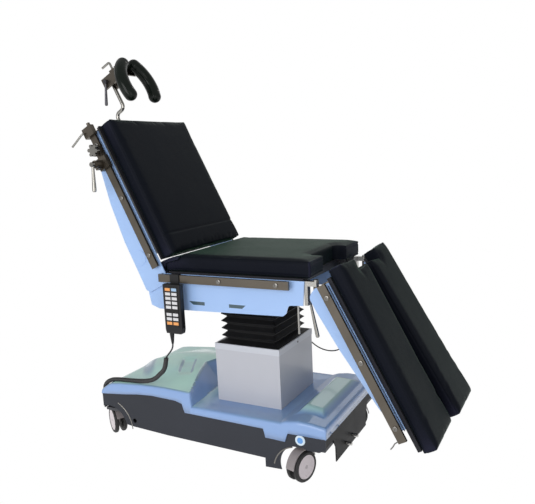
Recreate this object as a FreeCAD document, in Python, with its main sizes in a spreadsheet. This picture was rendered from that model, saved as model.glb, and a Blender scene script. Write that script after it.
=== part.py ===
"""Operating table with a column lift, modelled in millimetres.

The origin is on the floor under the lift column's axis.  X runs to the foot
end, Y to the far side and Z up, so the near side is at negative Y.  The back
and leg sections are drawn lying flat, from their own hinge line, and are then
turned about it.
"""
import FreeCAD
import Part
import Sketcher
import math
import os
import re

OUT = "parts"
DRIVERS = {
    # base on its casters
    "base_head_x": -659,
    "base_foot_x": 366,
    "base_half_width": 263,
    "shell_wall": 5,
    "chassis_low_z": 128,
    "chassis_thickness": 12,
    "hump_height": 64,
    "low_deck_z": 206,
    "skirt_wall": 4,
    "caster_radius": 57,
    "caster_trail": 22,
    "caster_foot_x": "=base_foot_x - 98",
    "caster_head_x": "=base_head_x + 27",
    "caster_foot_y": "=base_half_width - 35",
    "caster_head_y": "=base_half_width - 58",
    # lift column
    "column_length": 285,
    "column_width": 307,
    "column_top_z": 446,
    "stage_length": 168,
    "stage_width": 148,
    "stage_wall": 12,
    "stage_play": 0.5,
    "running_gap": 0.3,
    "bellows_pitch": 30,
    "bellows_fold": 18,
    "bellows_top_z": 606,
    "pivot_z": 668,
    "pivot_radius": 12,
    # table top
    "top_half_width": 260,
    "seat_top_z": 812,
    "seat_thickness": 63,
    "seat_foot_x": 328,
    "board_thickness": 7,
    "hinge_drop": 85,
    "pad_play": 0.5,
    "plate_outer": "=top_half_width + 4",
    "plate_wall": 4,
    "rail_outer": "=plate_outer + 26",
    "rail_thickness": 10,
    "rail_height": 30,
    "rail_depth": 84,
    "notch_half_width": 117,
    "notch_depth": 50,
    # back section
    "back_hinge_x": -283.5,
    "back_angle": 63.4,
    "back_length": 600,
    "back_thickness": 60,
    # leg sections
    "leg_hinge_x": 381,
    "swing_pin_x": 345,
    "swing_pin_y": "=top_half_width - 10",
    "swing_pin_radius": 5.5,
    "hinge_block_x": 317,
    "lever_pin_radius": 4,
    "near_leg_angle": 61.8,
    "far_leg_angle": 59.4,
    "leg_length": 692,
    "leg_thickness": 54,
    "leg_gap": 18.6,
    # headrest
    "head_rod_radius": 8,
    "head_bolt_radius": 5.7,
    "head_pad_radius": 27,
    "head_arc_radius": 122,
}

doc = FreeCAD.newDocument("operating_table")
sheet = doc.addObject("Spreadsheet::Sheet", "dims")
for row, (alias, size) in enumerate(DRIVERS.items(), start=1):
    sheet.set(f"A{row}", alias)
    sheet.set(f"B{row}", str(size))
    sheet.setAlias(f"B{row}", alias)
doc.recompute()

NODES = []
HINGE_Z = "(seat_top_z - hinge_drop)"
BACK_START = "(-hinge_drop * tan(back_angle / 2))"
LEG_START = "(-hinge_drop * tan(near_leg_angle / 2))"
LUG_Z = "(seat_top_z - 87)"
LEVER_X = "hinge_block_x - 6"
LEVER_Z = "seat_top_z - 144"
SIDES = {"near": -1, "far": 1}
PENDANT_X = "-232"
PENDANT_Y = "(-rail_outer - 16.5)"
HEAD_ROD_Z = "(hinge_drop - 150)"
HEAD_S = 829
HEAD_T = 96
HEAD_PAD_BACK_T = 7.7
HEAD_PIN_Y = 40
KNOB_S = 497
KNOB_T = "rail_depth + 2"


# Helpers: formulas, placements and the few operations used everywhere


def formula(text):
    """A sheet expression: every word with an underscore is a cell's alias."""
    return re.sub(r"[a-z]+(?:_[a-z]+)+", lambda word: "dims." + word.group(), str(text))


def number(text):
    """What a formula comes to."""
    found = sheet.evalExpression(formula(text))
    return float(getattr(found, "Value", found))


def bind(thing, **formulas):
    """Tie properties to the sheet."""
    for name, text in formulas.items():
        thing.setExpression(name, formula(text))


def place(piece, x=0, y=0, z=0, turn=None, axis=(0, 1, 0)):
    """Set a piece's origin, and its turn in degrees about an axis through it."""
    angle = number(turn) if turn is not None else 0
    rotation = FreeCAD.Rotation(FreeCAD.Vector(*axis), angle)
    spot = FreeCAD.Vector(number(x), number(y), number(z))
    piece.Placement = FreeCAD.Placement(spot, rotation)
    for letter, text in zip("xyz", (x, y, z)):
        piece.setExpression(f"Placement.Base.{letter}", formula(text))
    if turn is not None and abs(angle) > 1e-6:
        piece.setExpression("Placement.Rotation.Angle", formula(turn))
    return piece


def keep(piece, label):
    """Name a finished sub-part and list it for export."""
    piece.Label = label
    NODES.append(piece)
    return piece


def body(label):
    return keep(doc.addObject("PartDesign::Body", label), label)


def on_plane(owner, role, away=None):
    """An empty sketch on one of the body's own origin planes, or that far off it."""
    sketch = owner.newObject("Sketcher::SketchObject", "Sketch")
    plane = next(f for f in owner.Origin.OriginFeatures if f.Role == role)
    sketch.AttachmentSupport = (plane, [""])
    sketch.MapMode = "FlatFace"
    if away is not None:
        sketch.AttachmentOffset = FreeCAD.Placement(
            FreeCAD.Vector(0, 0, number(away)), FreeCAD.Rotation()
        )
        sketch.setExpression("AttachmentOffset.Base.z", formula(away))
    return sketch


def fix(sketch, geometry, point, across, up):
    """Hold a sketch point at two formulas from the sketch's origin."""
    for kind, text in (("DistanceX", across), ("DistanceY", up)):
        made = Sketcher.Constraint(kind, -1, 1, geometry, point, number(text))
        index = sketch.addConstraint(made)
        sketch.setExpression(f"Constraints[{index}]", formula(text))


def add_loop(sketch, corners):
    """Add a closed polygon whose corners are pairs of formulas."""
    spots = [FreeCAD.Vector(number(a), number(b), 0) for a, b in corners]
    ahead = spots[1:] + spots[:1]
    lines = [
        sketch.addGeometry(Part.LineSegment(start, end), False)
        for start, end in zip(spots, ahead)
    ]
    for line, follower in zip(lines, lines[1:] + lines[:1]):
        sketch.addConstraint(Sketcher.Constraint("Coincident", line, 2, follower, 1))
    for line, (across, up) in zip(lines, corners):
        fix(sketch, line, 1, across, up)


def outline(owner, role, corners, away=None):
    """A sketch of one closed polygon."""
    sketch = on_plane(owner, role, away)
    add_loop(sketch, corners)
    return sketch


def rectangle(owner, role, across, up, away=None):
    """A four-cornered outline between two pairs of formulas."""
    (left, right), (low, high) = across, up
    corners = [(left, low), (right, low), (right, high), (left, high)]
    return outline(owner, role, corners, away)


def rings(owner, role, circles, away=None):
    """Circles, each a centre's two formulas and a radius."""
    sketch = on_plane(owner, role, away)
    for across, up, radius in circles:
        centre = FreeCAD.Vector(number(across), number(up), 0)
        circle = Part.Circle(centre, FreeCAD.Vector(0, 0, 1), number(radius))
        index = sketch.addGeometry(circle, False)
        fix(sketch, index, 3, across, up)
        made = Sketcher.Constraint("Radius", index, number(radius))
        held = sketch.addConstraint(made)
        sketch.setExpression(f"Constraints[{held}]", formula(radius))
    return sketch


def pad(owner, sketch, length, both=True, reverse=False):
    """Thicken a sketch, to both sides of its plane unless told otherwise."""
    made = owner.newObject("PartDesign::Pad", "Pad")
    made.Profile = sketch
    made.Midplane = both
    made.Reversed = reverse
    bind(made, Length=length)
    doc.recompute()
    return made


def pocket(owner, sketch, length, both=True, reverse=False):
    """Cut a sketch away, and make sure that something was cut."""
    before = owner.Tip.Shape.Volume
    made = owner.newObject("PartDesign::Pocket", "Pocket")
    made.Profile = sketch
    made.Midplane = both
    made.Reversed = reverse
    bind(made, Length=length)
    doc.recompute()
    if not made.Shape.Volume < before - 1:
        raise RuntimeError(f"{owner.Label}: a pocket cuts nothing")
    return made


def loft(owner, sketches, kind="AdditiveLoft"):
    """Join flat outlines with ruled faces."""
    made = owner.newObject("PartDesign::" + kind, kind)
    made.Profile = sketches[0]
    made.Sections = sketches[1:]
    made.Ruled = True
    doc.recompute()
    return made


def revolve(owner, sketch):
    """Turn a sketch once round the body's upright axis."""
    made = owner.newObject("PartDesign::Revolution", "Revolution")
    made.Profile = sketch
    made.ReferenceAxis = (sketch, ["V_Axis"])
    made.Angle = 360
    doc.recompute()
    return made


def fillet(owner, radius, chosen):
    """Round the edges of the body's tip that a test picks."""
    tip = owner.Tip
    names = [f"Edge{i}" for i, edge in enumerate(tip.Shape.Edges, 1) if chosen(edge)]
    if not names:
        raise RuntimeError(f"{owner.Label}: no edge to round")
    made = owner.newObject("PartDesign::Fillet", "Fillet")
    made.Base = (tip, names)
    bind(made, Radius=radius)
    doc.recompute()
    return made


def runs(edge, direction):
    """Whether an edge is straight and runs along x, y or z."""
    if edge.Curve.TypeId != "Part::GeomLine":
        return False
    start, end = edge.Vertexes[0].Point, edge.Vertexes[-1].Point
    step = (end - start).normalize()
    return abs(abs(getattr(step, direction)) - 1) < 1e-6


def through(edge, corners):
    """Whether an edge passes a listed corner, seen along Y."""
    centre = edge.CenterOfMass
    return any(
        abs(centre.x - number(a)) < 0.01 and abs(centre.z - number(b)) < 0.01
        for a, b in corners
    )


def above(edge, corners):
    """Whether an edge passes a listed corner, seen from above."""
    centre = edge.CenterOfMass
    return any(
        abs(centre.x - number(a)) < 0.01 and abs(centre.y - number(b)) < 0.01
        for a, b in corners
    )


def block(x, y, z):
    """A box between three pairs of formulas."""
    made = doc.addObject("Part::Box", "Block")
    low = [pair[0] for pair in (x, y, z)]
    for name, (start, end) in zip(("Length", "Width", "Height"), (x, y, z)):
        made.setExpression(name, formula(f"({end}) - ({start})"))
    return place(made, *low)


DIRECTIONS = {"x": (0, 1, 0, 90), "y": (1, 0, 0, -90), "z": (0, 0, 1, 0)}


def rod(radius, start, length, direction):
    """A cylinder from a start point along x, y or z."""
    made = doc.addObject("Part::Cylinder", "Rod")
    bind(made, Radius=radius, Height=length)
    *axis, angle = DIRECTIONS[direction]
    made.Placement.Rotation = FreeCAD.Rotation(FreeCAD.Vector(*axis), angle)
    for letter, text in zip("xyz", start):
        made.setExpression(f"Placement.Base.{letter}", formula(text))
    return made


def fuse(*pieces):
    made = doc.addObject("Part::MultiFuse", "Fuse")
    made.Shapes = list(pieces)
    made.Refine = True
    return made


def cut(base, *tools):
    """Take tools from a base."""
    made = doc.addObject("Part::Cut", "Cut")
    made.Base = base
    made.Tool = tools[0] if len(tools) == 1 else fuse(*tools)
    made.Refine = True
    return made


def span(side, inner, outer):
    """The pair of Y formulas between two distances from the middle, on a side."""
    if side == "near":
        return (f"-({outer})", f"-({inner})")
    return (inner, outer)


def sided(side, distance):
    """A distance from the middle as a Y formula on a side."""
    return f"{SIDES[side]} * ({distance})"


def place_back(piece, y=0):
    """Turn a piece drawn flat with the raised back section."""
    return place(piece, "back_hinge_x", y, HINGE_Z, "back_angle")


def place_leg(piece, side, y=0):
    """Turn a piece drawn flat with a lowered leg section."""
    return place(piece, "leg_hinge_x", y, HINGE_Z, f"{side}_leg_angle")


def back_point(s, t):
    """A point s up the back and t behind its pad's face, from the flat hinge."""
    return f"{BACK_START} - ({s})", f"hinge_drop - ({t})"


def leg_point(s, t):
    """A point s along a leg and t under its pad's face, from the flat hinge."""
    return f"{LEG_START} + ({s})", f"hinge_drop - ({t})"


def world_back(s, t):
    """Where a point of the raised back section is, as formulas."""
    x, z = back_point(s, t)
    turned = (
        f"back_hinge_x + ({x}) * cos(back_angle) + ({z}) * sin(back_angle)",
        f"{HINGE_Z} - ({x}) * sin(back_angle) + ({z}) * cos(back_angle)",
    )
    return turned


def seat_point(x, depth):
    """A point of the seat, which is already where it belongs."""
    return f"{x}", f"seat_top_z - ({depth})"


def rail(label, side, start, end, bolts, point, clear=0):
    """A flat accessory rail on round spacers, with a bolt head over each."""
    x_start, x_end = (point(s, 0)[0] for s in (start, end))
    middle = point(0, "rail_depth")[1]
    z = (f"{middle} - rail_height / 2", f"{middle} + rail_height / 2")
    low, high = (x_start, x_end) if number(x_start) < number(x_end) else (x_end, x_start)
    bar = block((low, high), span(side, "rail_outer - rail_thickness", "rail_outer"), z)
    parts = [bar]
    for s in bolts:
        x = point(s, 0)[0]
        inner = span(side, f"plate_outer + {clear}", "rail_outer + 3")[0]
        parts.append(rod(8, (x, inner, middle), f"rail_outer + 3 - plate_outer - {clear}", "y"))
    return keep(fuse(*parts), label)


def rounded_path(spots, radii):
    """Straight runs through points, joined by tangent arcs of given radii."""
    edges = []
    start = spots[0]
    for before, corner, after, radius in zip(spots, spots[1:], spots[2:], radii):
        back = (before - corner).normalize()
        ahead = (after - corner).normalize()
        half = back.getAngle(ahead) / 2
        cut_back = radius / math.tan(half)
        bisector = (back + ahead).normalize()
        centre = corner + bisector * (radius / math.sin(half))
        first, last = corner + back * cut_back, corner + ahead * cut_back
        middle = centre - bisector * radius
        edges.append(Part.LineSegment(start, first).toShape())
        edges.append(Part.Arc(first, middle, last).toShape())
        start = last
    edges.append(Part.LineSegment(start, spots[-1]).toShape())
    return Part.Wire(edges)


def swept(path, radius):
    """A round bar along a path."""
    first = path.Edges[0]
    start, ahead = first.Vertexes[0].Point, first.tangentAt(first.FirstParameter)
    ring = Part.Wire([Part.Circle(start, ahead, radius).toShape()])
    return path.makePipeShell([ring], True, False)


def handle(label, length, neck, end, hub, reach, spindle, towards):
    """A lever on a spindle across Y: a round hub and a grip that widens downwards."""
    lever = body(label)
    shaft = [
        ("0", f"-({length})"),
        (f"{end} - 2", f"-({length})"),
        (end, f"-({length}) + 4"),
        (end, f"-({length}) + 16"),
        (neck, f"-({hub}) - 8"),
        (neck, "0"),
        ("0", "0"),
    ]
    revolve(lever, outline(lever, "XZ_Plane", shaft))
    pad(lever, rings(lever, "XZ_Plane", [(0, 0, hub)]), reach)
    radius, depth = spindle
    pin = rings(lever, "XZ_Plane", [(0, 0, radius)])
    pad(lever, pin, depth, both=False, reverse=towards == "far")
    return lever


# Base: chassis, moulded cover, skirts and end plate

CASTERS = {
    "head_near": ("caster_head_x", "-caster_head_y", -33),
    "head_far": ("caster_head_x", "caster_head_y", 160),
    "foot_near": ("caster_foot_x", "-caster_foot_y", 74),
    "foot_far": ("caster_foot_x", "caster_foot_y", 205),
}
DECK_Z = "(chassis_low_z + chassis_thickness)"
# the line where the light cover ends and the dark skirt begins, head to foot
SEAM = [
    ("base_head_x", "low_deck_z - 5"),
    ("base_head_x + 118", "low_deck_z + 8"),
    ("base_head_x + 199", "low_deck_z + 19"),
    ("base_head_x + 271", "low_deck_z + 24"),
    ("base_head_x + 385", "low_deck_z + 21"),
    ("base_head_x + 418", "low_deck_z + 12"),
    ("base_head_x + 427", "low_deck_z - 23"),
    ("base_foot_x - 243", "low_deck_z - 27"),
    ("base_foot_x - 241", "low_deck_z - 60"),
    ("base_foot_x - 158", "low_deck_z - 62"),
    ("base_foot_x - 147", "low_deck_z - 28"),
    ("base_foot_x", "low_deck_z - 26"),
]


def make_chassis():
    """Deck plate, two channels and the fixed lift stage, bored for the casters."""
    plate = block(
        ("base_head_x + 12", "base_foot_x - 4"),
        ("-base_half_width + skirt_wall", "base_half_width - skirt_wall"),
        ("chassis_low_z", DECK_Z),
    )
    channels = [
        block(
            ("base_head_x + 60", "base_foot_x - 30"),
            span(side, 40, 100),
            ("chassis_low_z - 44", "chassis_low_z"),
        )
        for side in SIDES
    ]
    stage = block(
        ("-stage_length / 2", "stage_length / 2"),
        ("-stage_width / 2", "stage_width / 2"),
        (DECK_Z, "column_top_z + 54"),
    )
    bore = block(
        ("-stage_length / 2 + stage_wall", "stage_length / 2 - stage_wall"),
        ("-stage_width / 2 + stage_wall", "stage_width / 2 - stage_wall"),
        (DECK_Z, "column_top_z + 60"),
    )
    stems = [
        rod(9.3, (x, y, "chassis_low_z - 10"), "chassis_thickness + 20", "z")
        for x, y, _ in CASTERS.values()
    ]
    head_wall = block(
        ("base_head_x", "base_head_x + skirt_wall"),
        ("-base_half_width + skirt_wall", "base_half_width - skirt_wall"),
        ("chassis_low_z + 8", "low_deck_z - 5"),
    )
    shelf = block(
        ("base_head_x + skirt_wall", "base_head_x + 12"),
        ("-120", "120"),
        ("chassis_low_z", DECK_Z),
    )
    frame = fuse(plate, *channels, stage, head_wall, shelf)
    keep(cut(frame, bore, *stems), "base_frame")


def make_cover():
    """Moulded cover: a side profile across the base, hollow below."""
    cover = body("base_cover")
    top = [
        ("base_foot_x", "low_deck_z + 11"),
        ("base_foot_x - 111", "low_deck_z + 18"),
        ("base_foot_x - 168", "low_deck_z + 1"),
        ("base_head_x + 458", "low_deck_z"),
        ("base_head_x + 454", "low_deck_z + hump_height - 1"),
        ("base_head_x + 303", "low_deck_z + hump_height"),
        ("base_head_x + 215", "low_deck_z + hump_height - 3"),
        ("base_head_x + 92", "low_deck_z + hump_height - 16"),
        ("base_head_x + 37", "low_deck_z + hump_height - 26"),
        ("base_head_x", "low_deck_z + 10"),
    ]
    profile = outline(cover, "XZ_Plane", SEAM + top)
    pad(cover, profile, "2 * base_half_width")
    inside = [
        ("base_head_x + shell_wall", "low_deck_z - 70"),
        ("base_head_x + shell_wall", "low_deck_z + 6"),
        ("base_head_x + 92", "low_deck_z + hump_height - 22"),
        ("base_head_x + 303", "low_deck_z + hump_height - 7"),
        ("base_head_x + 345", "low_deck_z + hump_height - 7"),
        ("base_head_x + 352", "low_deck_z - shell_wall"),
        ("base_foot_x - shell_wall", "low_deck_z - shell_wall"),
        ("base_foot_x - shell_wall", "low_deck_z - 70"),
    ]
    hollow = outline(cover, "XZ_Plane", inside)
    pocket(cover, hollow, "2 * base_half_width - 2 * shell_wall")
    # the hump falls away to the column in a shallow vee
    mouth = [("base_head_x + 520", "-base_half_width - 5")]
    mouth += [("base_head_x + 520", "base_half_width + 5")]
    low = [("base_head_x + 459", "base_half_width + 5"), ("base_head_x + 440", "0")]
    low += [("base_head_x + 459", "-base_half_width - 5")]
    high = [("base_head_x + 458", "base_half_width + 5"), ("base_head_x + 362", "0")]
    high += [("base_head_x + 458", "-base_half_width - 5")]
    floor = outline(cover, "XY_Plane", mouth + low, "low_deck_z")
    lip = outline(cover, "XY_Plane", mouth + high, "low_deck_z + hump_height + 6")
    loft(cover, [floor, lip], "SubtractiveLoft")
    # raised foot hump
    foot, crest = (
        [
            (f"base_foot_x - {inset}", f"-{half}"),
            (f"base_foot_x - {reach}", f"-{half}"),
            (f"base_foot_x - {reach}", half),
            (f"base_foot_x - {inset}", half),
        ]
        for inset, reach, half in ((18, 150, 215), (40, 110, 150))
    )
    rise = [
        outline(cover, "XY_Plane", foot, "low_deck_z - 3"),
        outline(cover, "XY_Plane", crest, "low_deck_z + 38"),
    ]
    loft(cover, rise)
    # short channels beside the foot casters and the hole for the column
    for away in ("base_half_width - 22", "-base_half_width + 22"):
        slot = rectangle(
            cover,
            "XZ_Plane",
            ("base_foot_x - 238", "base_foot_x - 180"),
            ("low_deck_z - 1.5", "low_deck_z + 12"),
            away,
        )
        pocket(cover, slot, 46)
    hole = rectangle(
        cover,
        "XY_Plane",
        ("-column_length / 2", "column_length / 2"),
        ("-column_width / 2", "column_width / 2"),
        "low_deck_z",
    )
    pocket(cover, hole, 60)

def make_skirts():
    """Side skirts with round wheel arches, a jacking hole and a round cap."""
    foot_arch = ("base_foot_x - 106", "caster_radius", "caster_radius + 19")
    head_arch = ("base_head_x + 33", "caster_radius + 3", "caster_radius + 33")
    below = [
        ("base_foot_x", "low_deck_z - 66"),
        ("base_foot_x - 26", "low_deck_z - 81"),
        ("base_foot_x - 104", "low_deck_z - 81"),
        ("base_foot_x - 104", "caster_radius"),
        ("base_foot_x - 172", "caster_radius"),
        ("base_foot_x - 176", "low_deck_z - 175"),
        ("base_foot_x - 244", "low_deck_z - 178"),
        ("base_foot_x - 244", "low_deck_z - 143"),
        ("base_head_x + 339", "low_deck_z - 137"),
        ("base_head_x + 161", "low_deck_z - 130"),
        ("base_head_x + 122", "low_deck_z - 126"),
        ("base_head_x", "low_deck_z - 126"),
    ]
    for side in SIDES:
        skirt = body(f"skirt_{side}")
        pad(skirt, outline(skirt, "XZ_Plane", SEAM + below), "skirt_wall")
        hole = ("base_head_x + 166", "low_deck_z - 103", 10)
        circles = [foot_arch, head_arch, hole]
        for circle in circles:
            pocket(skirt, rings(skirt, "XZ_Plane", [circle]), "4 * skirt_wall")
        cap = rings(skirt, "XZ_Plane", [("base_foot_x - 98", "low_deck_z - 47", 19)])
        outward = side == "far"
        pad(skirt, cap, "skirt_wall / 2 + 2", both=False, reverse=outward)
        place(skirt, 0, sided(side, "base_half_width - skirt_wall / 2"))


def make_foot_plate():
    """Black end plate whose middle drops between the casters, with two studs."""
    half = [
        ("base_half_width - skirt_wall", "low_deck_z - 26.3"),
        ("base_half_width - skirt_wall", "low_deck_z - 60"),
        ("base_half_width - 72", "low_deck_z - 60"),
        ("base_half_width - 96", "low_deck_z - 98"),
        ("base_half_width - 98", "low_deck_z - 156"),
    ]
    mirrored = [(f"-({across})", up) for across, up in reversed(half)]
    plate = body("foot_plate")
    pad(plate, outline(plate, "YZ_Plane", half + mirrored), "skirt_wall", both=False)
    studs = rings(plate, "YZ_Plane", [(9, 78, 7), (-61, 76, 7)])
    pad(plate, studs, 26, both=False)
    place(plate, "base_foot_x - skirt_wall")


def make_column_cover():
    """Square column cover: a shell with a top band, a lid and a cable gland."""
    z = ("low_deck_z - 66", "column_top_z")
    half_x, half_y = "column_length / 2", "column_width / 2"
    outer = block(
        (f"-{half_x} + 1.5", f"{half_x} - 1.5"), (f"-{half_y} + 1.5", f"{half_y} - 1.5"), z
    )
    band = block(
        (f"-{half_x}", half_x), (f"-{half_y}", half_y), ("column_top_z - 24", z[1])
    )
    inner = block(
        (f"-{half_x} + 6", f"{half_x} - 6"),
        (f"-{half_y} + 6", f"{half_y} - 6"),
        (f"{z[0]} - 1", "column_top_z - 5"),
    )
    mouth = block(
        ("-stage_length / 2 - 14", "stage_length / 2 + 14"),
        ("-stage_width / 2 - 14", "stage_width / 2 + 14"),
        ("column_top_z - 6", "column_top_z + 1"),
    )
    gland = rod(8, (100, f"{half_y} - 3", "column_top_z - 51"), 17, "y")
    keep(fuse(cut(fuse(outer, band), inner, mouth), gland), "column_cover")


def make_casters():
    """Four swivelling twin-wheel casters, each a hooded fork and a wheel pair."""
    centre = ("-caster_trail", "caster_radius")
    reach = "caster_radius + 20"
    uncovered = [
        (f"-caster_trail - ({reach})", "-20"),
        (f"-caster_trail + {reach}", "-20"),
        (f"-caster_trail + {reach}", "caster_radius + 30"),
        centre,
        (f"-caster_trail - ({reach})", "caster_radius + 8"),
    ]
    web = [
        ("22", "caster_radius + 60"),
        ("18", "caster_radius + 22"),
        ("-caster_trail + 12", "caster_radius - 12"),
        ("-caster_trail - 12", "caster_radius - 10"),
        ("-caster_trail - 14", "caster_radius + 20"),
        ("-18", "caster_radius + 60"),
    ]
    wheel_side = [
        ("0", "7"),
        ("caster_radius - 20", "7"),
        ("caster_radius - 10", "10"),
        ("caster_radius - 3", "10"),
        ("caster_radius", "13"),
        ("caster_radius", "21"),
        ("caster_radius - 4", "26"),
        ("caster_radius - 12", "26.5"),
        ("caster_radius - 14", "25"),
        ("0", "25"),
    ]
    for name, (x, y, turn) in CASTERS.items():
        fork = body(f"caster_fork_{name}")
        hood = rings(
            fork, "XZ_Plane", [(*centre, "caster_radius + 7"), (*centre, "caster_radius + 3")]
        )
        pad(fork, hood, 36)
        pocket(fork, outline(fork, "XZ_Plane", uncovered), 40)
        pad(fork, outline(fork, "XZ_Plane", web), 9)
        pocket(fork, rings(fork, "XZ_Plane", [(*centre, "6.3")]), 20)
        collar = rings(fork, "XY_Plane", [(0, 0, 20)], "chassis_low_z - 12")
        pad(fork, collar, 11.6, both=False)
        stem = rings(fork, "XY_Plane", [(0, 0, 9)], "chassis_low_z - 4")
        pad(fork, stem, "chassis_thickness + 2", both=False)
        place(fork, x, y, 0, turn, (0, 0, 1))

        # the wheels turn on their own axle, which is drawn upright
        wheel = body(f"caster_wheel_{name}")
        revolve(wheel, rectangle(wheel, "XZ_Plane", ("0", "6"), ("-8", "8")))
        revolve(wheel, outline(wheel, "XZ_Plane", wheel_side))
        twin = [(across, f"-({up})") for across, up in wheel_side]
        revolve(wheel, outline(wheel, "XZ_Plane", twin))
        heading = math.radians(turn)
        x_axle = f"{x} - caster_trail * {math.cos(heading):.6f}"
        y_axle = f"{y} - caster_trail * {math.sin(heading):.6f}"
        lying = (math.cos(heading), math.sin(heading), 0)
        place(wheel, x_axle, y_axle, "caster_radius", 90, lying)


# Lift column: moving stage, bellows and the two tilt pivots


def make_lift():
    """Moving stage with a flange and two ears for the cross axle."""
    inner = "(stage_wall + stage_play)"
    stage = block(
        (f"-stage_length / 2 + {inner}", f"stage_length / 2 - {inner}"),
        (f"-stage_width / 2 + {inner}", f"stage_width / 2 - {inner}"),
        ("bellows_top_z - 366", "bellows_top_z"),
    )
    flange = block((-124, 124), (-136, 136), ("bellows_top_z", "bellows_top_z + 6"))
    ears = [
        block((-28, 28), span(side, 72, 88), ("bellows_top_z + 6", "pivot_z + 18"))
        for side in SIDES
    ]
    bore = rod("pivot_radius + 0.2", (0, -90, "pivot_z"), 180, "y")
    keep(cut(fuse(stage, flange, *ears), bore), "column_inner")


def make_bellows():
    """Square pleated bellows: rings of two sizes joined by flat folds."""
    pitch, fold = number("bellows_pitch"), number("bellows_fold")
    top, bottom = number("bellows_top_z"), number("column_top_z")
    out_x, out_y = number("column_length / 2 - 20"), number("column_width / 2 - 20")
    levels = [(bottom, out_x + 16, out_y + 16), (bottom + fold, out_x - fold, out_y - fold)]
    folds = round((top - bottom - fold) / pitch * 2)
    step = (top - bottom - fold) / folds
    for i in range(1, folds + 1):
        shrink = fold if i % 2 == 0 else 0
        levels.append((bottom + fold + i * step, out_x - shrink, out_y - shrink))
    wires = []
    for z, x, y in levels:
        corners = [(-x, -y), (x, -y), (x, y), (-x, y), (-x, -y)]
        wires.append(Part.makePolygon([FreeCAD.Vector(a, b, z) for a, b in corners]))
    solid = Part.makeLoft(wires, True, True)
    half_x, half_y = number("stage_length / 2 + 8"), number("stage_width / 2 + 8")
    bore = Part.makeBox(
        2 * half_x, 2 * half_y, top - bottom + 20, FreeCAD.Vector(-half_x, -half_y, bottom - 10)
    )
    made = doc.addObject("Part::Feature", "Bellows")
    made.Shape = solid.cut(bore)
    keep(made, "bellows")


def make_tilt_head():
    """Cross axle: a small block with pins across both tilt axes."""
    core = block((-34, 34), (-71.5, 71.5), ("pivot_z - 18", "pivot_z + 18"))
    cross = rod("pivot_radius", (0, -90, "pivot_z"), 180, "y")
    long = rod("pivot_radius", (-64, 0, "pivot_z"), 128, "x")
    keep(fuse(core, cross, long), "tilt_head")


# Table top: frame, side plates, rails, boards and pads


def make_seat_frame():
    """Ladder frame: side and cross beams, tilt ears, hinge blocks and pivot pins."""
    high = "seat_top_z - seat_thickness - board_thickness"
    low = f"{high} - 38"
    z = (low, high)
    wide = ("-top_half_width + 22", "top_half_width - 22")
    parts = [
        block(x, wide, z)
        for x in ((-240, -200), (-60, -46), (46, 60), (200, 240))
    ]
    cuts = [rod("pivot_radius + 0.2", (-64, 0, "pivot_z"), 128, "x")]
    for x in ((-60, -46), (46, 60)):
        parts.append(block(x, (-30, 30), ("pivot_z - 18", low)))
    for side in SIDES:
        beam = span(side, "top_half_width - 22", "top_half_width")
        parts.append(block((-330, "hinge_block_x - 11"), beam, z))
        parts.append(block((-240, 240), span(side, 100, 120), z))
        # the hinge block ends in a lug that holds the swing pin
        hinge_y = span(side, "swing_pin_y - 14", "swing_pin_y + 9.5")
        lug_y = span(side, "swing_pin_y - 9.5", "swing_pin_y + 9.5")
        pin = ("swing_pin_x", sided(side, "swing_pin_y"))
        block_x = ("hinge_block_x - 13", "hinge_block_x")
        parts.append(block(block_x, hinge_y, ("seat_top_z - 155", high)))
        parts.append(block(("hinge_block_x - 1", "swing_pin_x"), lug_y, (LUG_Z, high)))
        parts.append(rod(9.5, (*pin, LUG_Z), f"{high} - {LUG_Z}", "z"))
        parts.append(rod("swing_pin_radius", (*pin, "seat_top_z - 140"), 76, "z"))
        parts.append(rod(9, (*pin, high), 6, "z"))
        parts.append(rod(9, (*pin, "seat_top_z - 141"), 6, "z"))
        spot = (LEVER_X, span(side, "swing_pin_y - 15", "swing_pin_y + 1")[0], LEVER_Z)
        cuts.append(rod("lever_pin_radius + running_gap", spot, 16, "y"))
        pivot = span(side, "top_half_width - 1", "plate_outer + 9.5")[0]
        pin_length = "plate_outer + 10.5 - top_half_width"
        parts.append(rod(9, ("back_hinge_x", pivot, HINGE_Z), pin_length, "y"))
        cap = span(side, "plate_outer + 6", "plate_outer + 10")[0]
        parts.append(rod(16, ("back_hinge_x", cap, HINGE_Z), 4, "y"))
        # an upright rod hangs from a small block inside the side beam
        rod_spot = ("seat_foot_x - 62", sided(side, "top_half_width - 30"), "seat_top_z - 267")
        parts.append(rod(4, rod_spot, 170, "z"))
        rod_block = ("seat_foot_x - 70", "seat_foot_x - 54")
        parts.append(block(rod_block, span(side, "top_half_width - 36", "top_half_width - 20"), z))
    parts.append(rod(6, (290, "top_half_width - 30", "seat_top_z - 96"), 9, "y"))
    keep(cut(fuse(*parts), *cuts), "seat_frame")


SEAT_PLATE = [
    (-361, "seat_top_z - 70"),
    ("seat_foot_x - 21", "seat_top_z - 70"),
    ("seat_foot_x - 28", "seat_top_z - 156"),
    ("seat_foot_x - 38", "seat_top_z - 156"),
    ("seat_foot_x - 84", "seat_top_z - 159"),
    ("seat_foot_x - 94", "seat_top_z - 189"),
    ("seat_foot_x - 106", "seat_top_z - 199"),
    (-314, "seat_top_z - 212"),
    (-352, "seat_top_z - 199"),
    (-361, "seat_top_z - 156"),
]


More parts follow.
